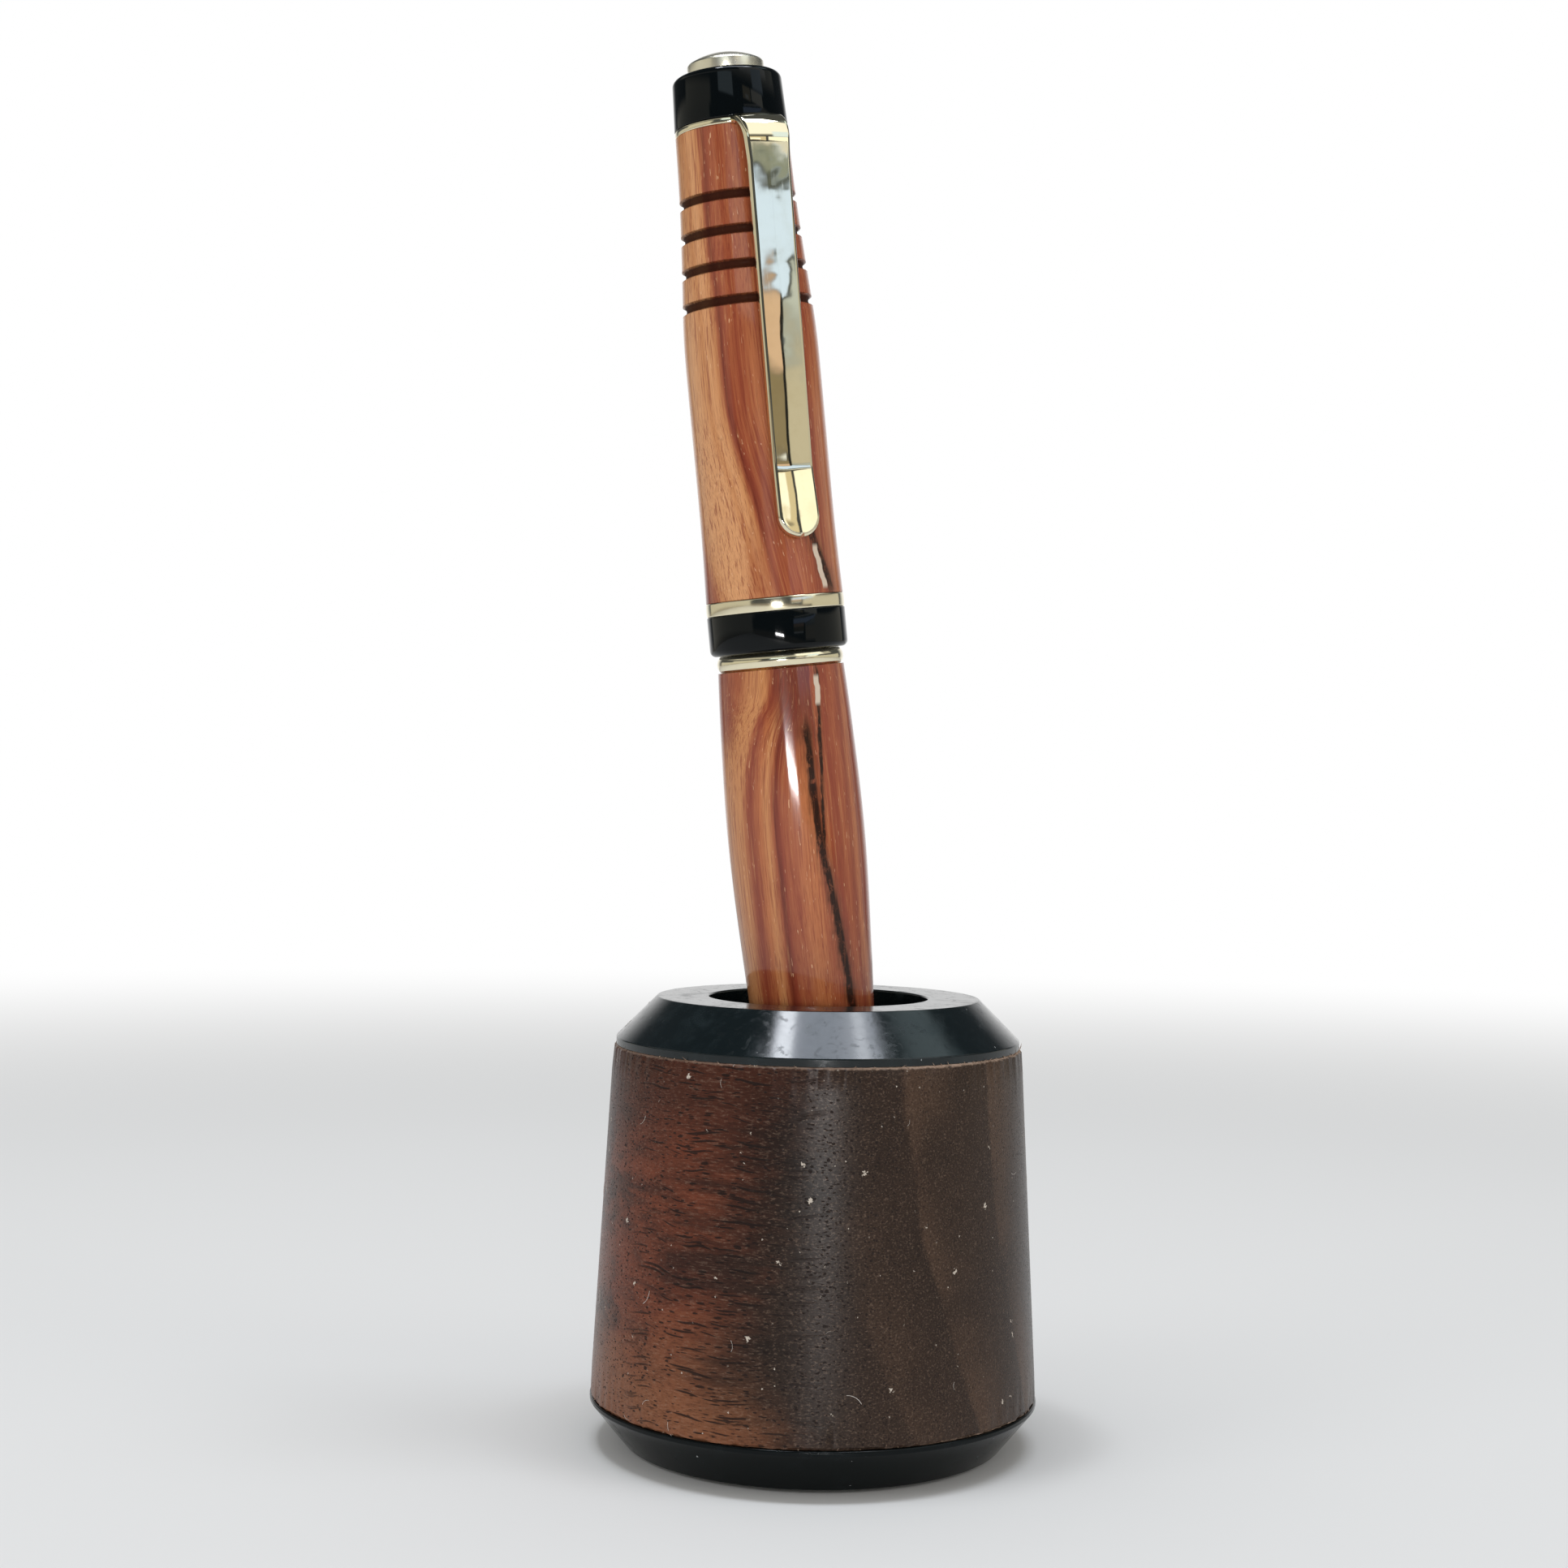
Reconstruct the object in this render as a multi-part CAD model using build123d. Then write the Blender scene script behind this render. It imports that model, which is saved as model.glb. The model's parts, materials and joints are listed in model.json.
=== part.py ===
from build123d import *
import math
import os

# A round walnut pen holder between two black turned rings, with a twist ballpoint leaning in its socket.
# Lengths are in millimetres and angles in degrees. The origin is the middle of the underside, +Z is up,
# and -Y is the front.

# Holder: the turned outside
wood_bottom_diameter = 49.7
wood_top_diameter = 45.6
wood_height = 38.8
wood_edge_radius = 0.35
collar_setback = 0.3
collar_bevel = 4.5
collar_band_height = 0.8
collar_mouth_diameter = 24.5
base_proud = 0.05
base_bevel = 3.7
base_bevel_height = 4.5
base_band_height = 0.5
ring_edge_radius = 0.2
foot_pad_proud = 0.4

# Holder: the inside
collar_spigot_diameter = 30.0
collar_spigot_depth = 3.0
base_spigot_height = 1.5
ballast_diameter = 37.8
ballast_thickness = 6.7
foot_pad_diameter = 37.0
foot_pad_thickness = 1.4
liner_wall = 1.1
liner_floor = 1.2
liner_flange_thickness = 1.2
well_clearance = 0.8
seat_share = 0.79

# Pen: how it stands in the socket
pen_lean_left = 6.1
pen_lean_forward = 3.2
pen_shift_left = 0.78
pen_shift_forward = 0.7

# Pen: the outside, from the point upwards
nib_length = 14.0
nib_cone_length = 12.0
nib_tip_diameter = 3.2
nib_shoulder_diameter = 11.0
nib_neck_height = 0.3
lower_barrel_length = 52.0
coupler_ring_height = 1.7
coupler_ring_diameter = 14.05
coupler_ring_round = 0.55
twist_gap = 0.15
band_height = 4.38
band_diameter = 15.34
band_edge_radius = 0.7
trim_ring_height = 1.56
upper_barrel_length = 50.86
clip_ring_thickness = 0.78
clip_ring_diameter = 12.4
finial_height = 5.57
finial_diameter = 12.45
finial_draft = 0.25
finial_edge_radius = 0.8
button_diameter = 8.4
button_side_height = 1.4
button_crown_height = 1.15

# Pen: how the turned wood swells, as shares of each barrel's length and of the band's radius
lower_swell_shares = [
    (0.0, 0.802), (0.15, 0.862), (0.3, 0.918), (0.45, 0.976), (0.587, 1.001), (0.72, 0.984), (0.86, 0.94),
    (1.0, 0.913),
]
upper_swell_shares = [
    (0.0, 0.993), (0.1, 0.974), (0.28, 0.965), (0.48, 0.966), (0.575, 0.956), (0.66, 0.92), (0.76, 0.874),
    (0.861, 0.836), (1.0, 0.808),
]

# Pen: the four burned grooves, measured down from the top of the upper barrel
groove_first_drop = 7.45
groove_pitch = 3.77
groove_count = 4
groove_width = 1.1
groove_depth = 0.45

# Pen: the clip, in the plane through the pen's axis and the clip
clip_turn = 24.5
clip_thickness = 1.0
clip_root_width = 5.5
clip_neck_width = 4.8
clip_waist_width = 4.6
clip_neck_drop = 5.5
clip_reach = 3.1
clip_bend_radius = 2.8
clip_length = 45.6
clip_flare_length = 7.6
clip_flare = 0.55
clip_flare_bend_radius = 12.0
clip_root_gap = 0.12

# Pen: the inside
refill_diameter = 5.9
refill_nose_diameter = 3.1
refill_nose_length = 15.4
refill_tip_diameter = 2.34
refill_cone_length = 2.0
refill_ball_diameter = 1.0
refill_inset = 0.6
refill_step_gap = 0.4
refill_clearance = 0.35
tip_clearance = 0.18
refill_travel = 5.5
twist_angle = 180.0
spring_wire_diameter = 0.4
spring_diameter = 4.3
spring_turns = 6
spring_clearance = 0.4
spring_end_gap = 0.05
nib_tip_bore_length = 5.5
nib_spring_bore_length = 4.5
nib_spigot_length = 6.0
coupler_spigot_length = 7.0
band_liner_wall = 1.5
band_liner_spigot_length = 6.2
carriage_wall = 0.33
carriage_length = 7.4
drive_pin_diameter = 1.4
drive_pin_inset = 2.8
drive_pin_gap = 0.15
sleeve_wall = 0.45
sleeve_end_room = 5.0
driver_wall = 0.52
driver_end_thickness = 2.5
driver_end_room = 0.7
driver_bush_gap = 1.8
driver_start_gap = 1.0
tube_wall = 0.45
tube_end_inset = 0.3
bush_length = 7.6
stud_diameter = 5.8
stud_length = 6.6

# Fits and cuts
glue_gap = 0.03
slide_gap = 0.12
running_gap = 0.1
band_liner_gap = 0.25
seat_gap = 0.14
cut_overrun = 1.0
pick_tolerance = 0.001

# Heights in the holder
base_low = foot_pad_proud
base_band_low = base_low + base_bevel_height
wood_low = base_band_low + base_band_height
wood_high = wood_low + wood_height
collar_band_high = wood_high + collar_band_height
rim_height = collar_band_high + collar_bevel
base_spigot_high = wood_low + base_spigot_height
ballast_high = base_spigot_high + ballast_thickness
liner_low = ballast_high + slide_gap
well_low = liner_low + liner_floor
flange_low = wood_high - collar_spigot_depth - slide_gap
mouth_height = flange_low + liner_flange_thickness

# Stations along the pen, measured from its point
lower_low = nib_length
lower_high = lower_low + lower_barrel_length
coupler_high = lower_high + coupler_ring_height
band_low = coupler_high + twist_gap
band_high = band_low + band_height
trim_high = band_high + trim_ring_height
upper_low = trim_high
upper_high = upper_low + upper_barrel_length
clip_ring_high = upper_high + clip_ring_thickness
finial_high = clip_ring_high + finial_height
bush_low = upper_high - bush_length
driver_high = bush_low - driver_bush_gap
driver_low = upper_low + band_liner_spigot_length + driver_start_gap
sleeve_low = lower_high - coupler_spigot_length
sleeve_high = driver_high - driver_end_thickness - driver_end_room
carriage_high = sleeve_high - sleeve_end_room
carriage_low = carriage_high - carriage_length
drive_pin_height = carriage_high - drive_pin_inset
refill_nose_high = refill_inset + refill_nose_length
refill_step_high = nib_tip_bore_length + refill_travel + refill_step_gap
spring_low = nib_tip_bore_length

# Radii of the rings above and below the wood
wood_low_radius = wood_bottom_diameter / 2
wood_high_radius = wood_top_diameter / 2
collar_radius = wood_high_radius - collar_setback
base_radius = wood_low_radius + base_proud

# Radii inside the pen, each worked out from the piece within it
refill_radius = refill_diameter / 2
carriage_radius = refill_radius + carriage_wall
sleeve_inner = carriage_radius + slide_gap
sleeve_outer = sleeve_inner + sleeve_wall
driver_inner = sleeve_outer + running_gap
driver_outer = driver_inner + driver_wall
tube_inner = driver_outer + glue_gap
tube_outer = tube_inner + tube_wall
barrel_bore = tube_outer + glue_gap
spigot_radius = tube_inner - glue_gap
band_liner_inner = sleeve_outer + band_liner_gap
band_liner_outer = band_liner_inner + band_liner_wall
band_radius = band_diameter / 2
tip_bore = refill_tip_diameter / 2 + tip_clearance
spring_bore = spring_diameter / 2 + spring_wire_diameter / 2 + spring_clearance
refill_bore = refill_radius + refill_clearance

# The pen's line: it leans to the left and forwards, and passes the rim a little off the holder's axis
lean_left = math.tan(math.radians(pen_lean_left))
lean_forward = math.tan(math.radians(pen_lean_forward))
lean_stretch = math.hypot(1, lean_left, lean_forward)
pen_axis = Vector(-lean_left, -lean_forward, 1) / lean_stretch
tip_height = well_low + well_clearance + (refill_travel - refill_inset) / lean_stretch
tip_drop = rim_height - tip_height
pen_tip = Vector(tip_drop * lean_left - pen_shift_left, tip_drop * lean_forward - pen_shift_forward, tip_height)
pen_place = Plane(origin=pen_tip, x_dir=(1, 0, lean_left), z_dir=pen_axis).location


# A turned piece is its half section, drawn as radius and height, spun about the axis
def turned(*edges):
    return spun(make_face(edges))


def spun(section):
    return revolve(Plane.XZ * section, Axis.Z)


def outline(*corners):
    return Polyline(*corners, close=True)


def ring(inner, outer, low, high):
    return turned(outline((inner, low), (outer, low), (outer, high), (inner, high)))


def rod(radius, low, high):
    return Pos(0, 0, low) * Cylinder(radius, high - low, align=(Align.CENTER, Align.CENTER, Align.MIN))


def edges_at(solid, radius, height):
    circles = solid.edges().filter_by(GeomType.CIRCLE)
    level = [edge for edge in circles if abs(edge.arc_center.Z - height) < pick_tolerance]
    return [edge for edge in level if abs(edge.radius - radius) < pick_tolerance]


def eased(solid, corners, radius):
    edges = [edge for corner in corners for edge in edges_at(solid, *corner)]
    return fillet(edges, radius)


def swell_radius(share, swell_shares):
    for (low, low_radius), (high, high_radius) in zip(swell_shares, swell_shares[1:]):
        if share <= high:
            part_way = (share - low) / (high - low)
            return band_radius * (low_radius + part_way * (high_radius - low_radius))
    return band_radius * swell_shares[-1][1]


def barrel_section(low, length, swell_shares):
    swell = [(band_radius * radius, low + share * length) for share, radius in swell_shares]
    bore = Polyline(swell[-1], (barrel_bore, low + length), (barrel_bore, low), swell[0])
    return make_face([Spline(*swell), bore])


# How far the pen's side reaches from the holder's axis at a height, which sizes the socket that it leans in
def pen_reach(height):
    station = (height - tip_height) * lean_stretch
    below_rim = rim_height - height
    off_left = below_rim * lean_left - pen_shift_left
    off_forward = below_rim * lean_forward - pen_shift_forward
    if station > nib_length:
        radius = swell_radius((station - lower_low) / lower_barrel_length, lower_swell_shares)
    elif station > nib_cone_length:
        radius = nib_bead_radius
    else:
        widening = (nib_shoulder_diameter - nib_tip_diameter) / 2 / nib_cone_length
        radius = nib_tip_diameter / 2 + widening * station
    return math.hypot(off_left, off_forward) + radius * lean_stretch


nib_bead_radius = band_radius * lower_swell_shares[0][1]
seat_height = tip_height + seat_share * nib_length / lean_stretch
well_radius = pen_reach(seat_height) + seat_gap
bead_height = tip_height + nib_length / lean_stretch
socket_radius = max(pen_reach(mouth_height), pen_reach(bead_height)) + seat_gap
seat_top = seat_height + socket_radius - well_radius
liner_outer = socket_radius + liner_wall


# Holder
def make_walnut_body():
    liner_bore = liner_outer + glue_gap
    collar_seat = collar_spigot_diameter / 2 + glue_gap
    ballast_pocket = ballast_diameter / 2 + glue_gap
    pocket_high = ballast_high + slide_gap
    body = turned(outline((ballast_pocket, wood_low), (wood_low_radius, wood_low), (wood_high_radius, wood_high),
                          (collar_seat, wood_high), (collar_seat, flange_low), (liner_bore, flange_low),
                          (liner_bore, pocket_high), (ballast_pocket, pocket_high)))
    return eased(body, [(wood_low_radius, wood_low), (wood_high_radius, wood_high)], wood_edge_radius)


def make_top_collar():
    mouth = collar_mouth_diameter / 2
    flat = collar_radius - collar_bevel
    spigot = collar_spigot_diameter / 2
    spigot_low = wood_high - collar_spigot_depth
    side = outline((mouth, spigot_low), (spigot, spigot_low), (spigot, wood_high), (collar_radius, wood_high),
                   (collar_radius, collar_band_high), (flat, rim_height), (mouth, rim_height))
    corners = [(mouth, rim_height), (flat, rim_height), (collar_radius, collar_band_high)]
    return eased(turned(side), corners, ring_edge_radius)


def make_base_ring():
    tread = base_radius - base_bevel
    spigot = ballast_diameter / 2
    pad = foot_pad_diameter / 2 + glue_gap
    side = outline((0, foot_pad_thickness), (pad, foot_pad_thickness), (pad, base_low), (tread, base_low),
                   (base_radius, base_band_low), (base_radius, wood_low), (spigot, wood_low),
                   (spigot, base_spigot_high), (0, base_spigot_high))
    corners = [(tread, base_low), (base_radius, base_band_low), (base_radius, wood_low)]
    return eased(turned(side), corners, ring_edge_radius)


def make_socket_liner():
    flange = collar_mouth_diameter / 2 - slide_gap
    side = outline((0, liner_low), (liner_outer, liner_low), (liner_outer, flange_low), (flange, flange_low),
                   (flange, mouth_height), (socket_radius, mouth_height), (socket_radius, seat_top),
                   (well_radius, seat_height), (well_radius, well_low), (0, well_low))
    return turned(side)


def make_ballast_disc():
    return rod(ballast_diameter / 2, base_spigot_high, ballast_high)


def make_foot_pad():
    return rod(foot_pad_diameter / 2, 0, foot_pad_thickness)


# Pen, lower half
def make_nib():
    neck = nib_shoulder_diameter / 2
    bead_low = nib_cone_length + nib_neck_height
    bead_middle = (bead_low + nib_length) / 2
    spring_bore_high = nib_tip_bore_length + nib_spring_bore_length
    spigot_high = nib_length + nib_spigot_length
    bead = ThreePointArc((neck, bead_low), (nib_bead_radius, bead_middle), (neck, nib_length))
    rest = Polyline((neck, nib_length), (spigot_radius, nib_length), (spigot_radius, spigot_high),
                    (refill_bore, spigot_high), (refill_bore, spring_bore_high), (spring_bore, spring_bore_high),
                    (spring_bore, nib_tip_bore_length), (tip_bore, nib_tip_bore_length), (tip_bore, 0),
                    (nib_tip_diameter / 2, 0), (neck, nib_cone_length), (neck, bead_low))
    return turned(bead, rest)


def make_lower_barrel():
    return spun(barrel_section(lower_low, lower_barrel_length, lower_swell_shares))


def make_lower_tube():
    return ring(tube_inner, tube_outer, lower_low + tube_end_inset, lower_high - tube_end_inset)


def make_coupler_ring():
    bore = sleeve_outer + glue_gap
    round_radius = coupler_ring_diameter / 2
    edge_radius = round_radius - coupler_ring_round
    middle = (lower_high + coupler_high) / 2
    bulge = ThreePointArc((edge_radius, lower_high), (round_radius, middle), (edge_radius, coupler_high))
    rest = Polyline((edge_radius, coupler_high), (bore, coupler_high), (bore, sleeve_low),
                    (spigot_radius, sleeve_low), (spigot_radius, lower_high), (edge_radius, lower_high))
    return turned(bulge, rest)


def make_mechanism_sleeve():
    slot_width = drive_pin_diameter + 2 * drive_pin_gap
    slot_length = refill_travel + slot_width
    slot_middle = drive_pin_height - refill_travel / 2
    reach = sleeve_outer + cut_overrun
    slot = Pos(reach / 2, 0, slot_middle) * Box(reach, slot_width, slot_length)
    return ring(sleeve_inner, sleeve_outer, sleeve_low, sleeve_high) - slot


def make_refill_spring():
    wire = spring_wire_diameter / 2
    low = spring_low + wire + spring_end_gap
    high = refill_nose_high - wire - spring_end_gap
    coil = Pos(0, 0, low) * Helix((high - low) / spring_turns, high - low, spring_diameter / 2)
    section = Plane(origin=coil @ 0, z_dir=coil % 0) * Circle(wire)
    return sweep(section, path=coil)


# Refill and the carriage that pushes it
def make_refill_tube():
    return rod(refill_radius, refill_nose_high, carriage_low)


def make_refill_point():
    ball = refill_ball_diameter / 2
    tip = refill_tip_diameter / 2
    nose = refill_nose_diameter / 2
    cone_high = refill_inset + refill_cone_length
    return turned(outline((0, refill_inset), (ball, refill_inset), (tip, cone_high), (tip, refill_step_high),
                          (nose, refill_step_high), (nose, refill_nose_high), (0, refill_nose_high)))


def make_drive_carriage():
    pin_reach = driver_inner + driver_wall / 2
    pin = Pos(0, 0, drive_pin_height) * Rot(0, 90, 0) * rod(drive_pin_diameter / 2, 0, pin_reach)
    return rod(carriage_radius, carriage_low, carriage_high) + pin


# Pen, upper half
def make_band_liner():
    spigot_high = upper_low + band_liner_spigot_length
    return turned(outline((band_liner_inner, band_low), (band_liner_outer, band_low), (band_liner_outer, upper_low),
                          (spigot_radius, upper_low), (spigot_radius, spigot_high),
                          (band_liner_inner, spigot_high)))


def make_centre_band():
    band = ring(band_liner_outer + glue_gap, band_radius, band_low, band_high)
    return eased(band, [(band_radius, band_low)], band_edge_radius)


def make_trim_ring():
    return ring(band_liner_outer + glue_gap, band_radius, band_high, trim_high)


def make_upper_barrel():
    section = barrel_section(upper_low, upper_barrel_length, upper_swell_shares)
    half_width = groove_width / 2
    cutter = (half_width**2 + groove_depth**2) / (2 * groove_depth)
    for number in range(groove_count):
        height = upper_high - groove_first_drop - number * groove_pitch
        surface = swell_radius((height - upper_low) / upper_barrel_length, upper_swell_shares)
        section -= Pos(surface - groove_depth + cutter, height) * Circle(cutter)
    return spun(section)


def make_upper_tube():
    return ring(tube_inner, tube_outer, upper_low + tube_end_inset, upper_high - tube_end_inset)


# The helical slot carries the drive pin down by the refill's travel while the upper half turns
def make_mechanism_driver():
    tube = ring(driver_inner, driver_outer, driver_low, driver_high)
    end_plate = rod(driver_inner + driver_wall / 2, driver_high - driver_end_thickness, driver_high)
    slot_radius = drive_pin_diameter / 2 + drive_pin_gap
    middle_radius = (driver_inner + driver_outer) / 2
    pitch = refill_travel * 360 / twist_angle
    path = Helix(pitch, refill_travel, middle_radius)
    section = Plane(origin=path @ 0, z_dir=path % 0) * Circle(slot_radius)
    end_hole = Rot(0, 90, 0) * rod(slot_radius, 0, driver_outer + cut_overrun)
    slot = sweep(section, path=path) + end_hole + Pos(0, 0, refill_travel) * Rot(0, 0, twist_angle) * end_hole
    return tube + end_plate - Pos(0, 0, drive_pin_height - refill_travel) * Rot(0, 0, -twist_angle) * slot


def make_clip_ring():
    return ring(stud_diameter / 2 + glue_gap, clip_ring_diameter / 2, upper_high, clip_ring_high)


def make_finial():
    low = finial_diameter / 2
    high = low - finial_draft
    bore = stud_diameter / 2 + glue_gap
    cap = turned(outline((bore, clip_ring_high), (low, clip_ring_high), (high, finial_high), (bore, finial_high)))
    return eased(cap, [(high, finial_high)], finial_edge_radius)


def make_finial_button():
    radius = button_diameter / 2
    side_high = finial_high + button_side_height
    crown_high = side_high + button_crown_height
    stud = stud_diameter / 2
    stud_low = clip_ring_high - stud_length
    crown_sphere = (radius**2 + button_crown_height**2) / (2 * button_crown_height)
    half_angle = math.asin(radius / crown_sphere) / 2
    crown_middle = (crown_sphere * math.sin(half_angle), crown_high - crown_sphere * (1 - math.cos(half_angle)))
    crown = ThreePointArc((radius, side_high), crown_middle, (0, crown_high))
    rest = Polyline((0, crown_high), (0, stud_low), (stud, stud_low), (stud, finial_high), (radius, finial_high),
                    (radius, side_high))
    return turned(crown, rest)


def make_finial_bush():
    return ring(stud_diameter / 2 + glue_gap, spigot_radius, bush_low, upper_high)


def make_clip_arm():
    root = clip_ring_diameter / 2 + clip_root_gap
    top = upper_high + clip_ring_thickness / 2
    crook = root + clip_reach
    tip = clip_ring_high - clip_length
    bend = tip + clip_flare_length
    bend_radius = band_radius * max(radius for _, radius in upper_swell_shares[2:]) + seat_gap + clip_thickness / 2
    path = FilletPolyline((root, 0, top), (crook, 0, top), (bend_radius, 0, bend),
                          (bend_radius + clip_flare, 0, tip), radius=[clip_bend_radius, clip_flare_bend_radius])
    section = Plane(origin=(root, 0, top), x_dir=(0, 0, 1), z_dir=(1, 0, 0)) * Rectangle(
        clip_thickness, clip_root_width)
    strip = sweep(section, path=path)
    neck = clip_ring_high - clip_neck_drop
    above = clip_ring_high + clip_thickness
    end_middle = tip + clip_neck_width / 2
    right_side = [(clip_root_width / 2, above), (clip_root_width / 2, top), (clip_neck_width / 2, neck),
                  (clip_waist_width / 2, bend), (clip_neck_width / 2, end_middle)]
    left_side = [(-across, up) for across, up in reversed(right_side)]
    front = Plane(origin=(0, 0, 0), x_dir=(0, 1, 0), z_dir=(1, 0, 0))
    sides = Polyline(*left_side, *right_side)
    end = ThreePointArc(right_side[-1], (0, tip), left_side[0])
    shape = extrude(front * make_face([sides, end]), amount=crook + clip_thickness)
    return Rot(0, 0, clip_turn - 90) * (strip & shape)


holder_pieces = {
    "walnut_body": make_walnut_body,
    "top_collar": make_top_collar,
    "base_ring": make_base_ring,
    "socket_liner": make_socket_liner,
    "ballast_disc": make_ballast_disc,
    "foot_pad": make_foot_pad,
}
pen_pieces = {
    "nib": make_nib,
    "lower_barrel": make_lower_barrel,
    "lower_tube": make_lower_tube,
    "coupler_ring": make_coupler_ring,
    "mechanism_sleeve": make_mechanism_sleeve,
    "refill_spring": make_refill_spring,
    "refill_tube": make_refill_tube,
    "refill_point": make_refill_point,
    "drive_carriage": make_drive_carriage,
    "band_liner": make_band_liner,
    "centre_band": make_centre_band,
    "trim_ring": make_trim_ring,
    "upper_barrel": make_upper_barrel,
    "upper_tube": make_upper_tube,
    "mechanism_driver": make_mechanism_driver,
    "clip_ring": make_clip_ring,
    "finial": make_finial,
    "finial_button": make_finial_button,
    "finial_bush": make_finial_bush,
    "clip_arm": make_clip_arm,
}

os.makedirs("parts", exist_ok=True)
for name, make in holder_pieces.items():
    export_step(make(), f"parts/{name}.step")
for name, make in pen_pieces.items():
    export_step(pen_place * make(), f"parts/{name}.step")

print("rim height", round(rim_height, 3), "socket radius", round(socket_radius, 3), "well radius", round(well_radius, 3))
print("pen tip", pen_tip, "pen axis", pen_axis, "refill length", round(carriage_low - refill_inset, 2))
clip_root = clip_ring_diameter / 2 + clip_root_gap
clip_angle = math.radians(clip_turn - 90)
clip_hinge = Vector(clip_root * math.cos(clip_angle), clip_root * math.sin(clip_angle), upper_high)
print("clip hinge", (pen_place * Pos(clip_hinge)).position)
print("pen x direction", Plane(pen_place).x_dir, "pen y direction", Plane(pen_place).y_dir)
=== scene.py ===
import json
import math

import bmesh
import bpy
import numpy as np
from mathutils import Matrix, Vector, noise


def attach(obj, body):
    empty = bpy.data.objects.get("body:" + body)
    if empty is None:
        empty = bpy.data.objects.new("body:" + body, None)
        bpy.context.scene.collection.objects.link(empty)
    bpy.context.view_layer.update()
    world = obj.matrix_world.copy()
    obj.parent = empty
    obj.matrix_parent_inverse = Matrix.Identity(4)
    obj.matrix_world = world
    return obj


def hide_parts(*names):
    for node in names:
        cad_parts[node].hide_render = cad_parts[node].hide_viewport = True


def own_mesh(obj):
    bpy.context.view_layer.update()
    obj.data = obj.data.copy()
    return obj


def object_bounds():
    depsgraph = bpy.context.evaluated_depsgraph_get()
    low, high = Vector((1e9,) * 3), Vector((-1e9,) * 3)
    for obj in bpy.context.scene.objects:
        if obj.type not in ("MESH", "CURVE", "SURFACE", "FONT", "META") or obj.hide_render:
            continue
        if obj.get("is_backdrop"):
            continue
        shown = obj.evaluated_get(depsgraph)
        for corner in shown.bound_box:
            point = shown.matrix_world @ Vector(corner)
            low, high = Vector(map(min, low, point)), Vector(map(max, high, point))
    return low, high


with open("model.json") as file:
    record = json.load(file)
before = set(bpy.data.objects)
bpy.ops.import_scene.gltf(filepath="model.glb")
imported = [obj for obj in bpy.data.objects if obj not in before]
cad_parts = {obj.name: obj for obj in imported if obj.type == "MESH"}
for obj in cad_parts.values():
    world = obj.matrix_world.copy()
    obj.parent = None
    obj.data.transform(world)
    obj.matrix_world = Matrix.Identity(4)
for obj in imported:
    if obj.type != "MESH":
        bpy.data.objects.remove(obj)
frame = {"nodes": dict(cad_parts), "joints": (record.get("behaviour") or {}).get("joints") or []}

# Lengths in the dictionaries are millimetres; the scene itself is in metres.
mm = 0.001
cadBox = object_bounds()
nodes = frame["nodes"]
joints = {joint["name"]: joint for joint in frame["joints"]}
scene = bpy.context.scene
scene.view_settings.view_transform = "Standard"

# The pen's own axes: up along it, right across it as seen from the front, and back
penUp = Vector(joints["pen_lift"]["axis"]).normalized()
penTip = Vector(joints["cap_twist"]["pos_m"])
penRight = Vector((penUp.z, 0, -penUp.x)).normalized()
penBack = penUp.cross(penRight)
penFrame = Matrix((penRight, penBack, penUp)).transposed().to_4x4()
penFrame.translation = penTip
print("frame loaded:", len(nodes), "nodes, pen point at", [round(v / mm, 2) for v in penTip])


def tone(red, green, blue):  # a screen colour as the shader's linear one
    def linear(value):
        value /= 255
        return value / 12.92 if value <= 0.04045 else ((value + 0.055) / 1.055) ** 2.4
    return (linear(red), linear(green), linear(blue), 1)


# Camera: place, turn and lens worked out from the rings of the holder
viewSetup = {
    "focalPixels": 2900, "framePixels": 1932, "sensor": 36, "place": (0, -264.17, 72.66),
    "pitch": 0.0023, "yaw": -0.0159, "roll": 0.015,
}


def makeCamera(setup):
    pitch, yaw, roll = setup["pitch"], setup["yaw"], setup["roll"]
    ahead = Vector((math.sin(yaw) * math.cos(pitch), math.cos(yaw) * math.cos(pitch), math.sin(pitch)))
    levelRight = Vector((math.cos(yaw), -math.sin(yaw), 0))
    levelUp = levelRight.cross(ahead)
    right = levelRight * math.cos(roll) + levelUp * math.sin(roll)
    up = levelUp * math.cos(roll) - levelRight * math.sin(roll)
    data = bpy.data.cameras.new("photoCamera")
    data.sensor_width = setup["sensor"]
    data.lens = setup["focalPixels"] / setup["framePixels"] * setup["sensor"]
    data.clip_start, data.clip_end = 0.01, 50
    camera = bpy.data.objects.new("photoCamera", data)
    turn = Matrix((right, up, -ahead)).transposed().to_4x4()
    camera.matrix_world = Matrix.Translation(Vector(setup["place"]) * mm) @ turn
    scene.collection.objects.link(camera)
    scene.camera = camera


makeCamera(viewSetup)


# Node trees: a wire is a socket that takes part in sums, and a tree makes every node with one method
class Wire:
    def __init__(self, tree, socket):
        self.tree, self.socket = tree, socket

    def sum(self, operation, *values):
        return self.tree.node("ShaderNodeMath", {"operation": operation}, dict(enumerate(values)))

    def __add__(self, other):
        return self.sum("ADD", self, other)

    def __radd__(self, other):
        return self.sum("ADD", other, self)

    def __sub__(self, other):
        return self.sum("SUBTRACT", self, other)

    def __rsub__(self, other):
        return self.sum("SUBTRACT", other, self)

    def __mul__(self, other):
        return self.sum("MULTIPLY", self, other)

    def __rmul__(self, other):
        return self.sum("MULTIPLY", other, self)

    def __truediv__(self, other):
        return self.sum("DIVIDE", self, other)

    def __pow__(self, other):
        return self.sum("POWER", self, other)

    def __abs__(self):
        return self.sum("ABSOLUTE", self)


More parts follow.
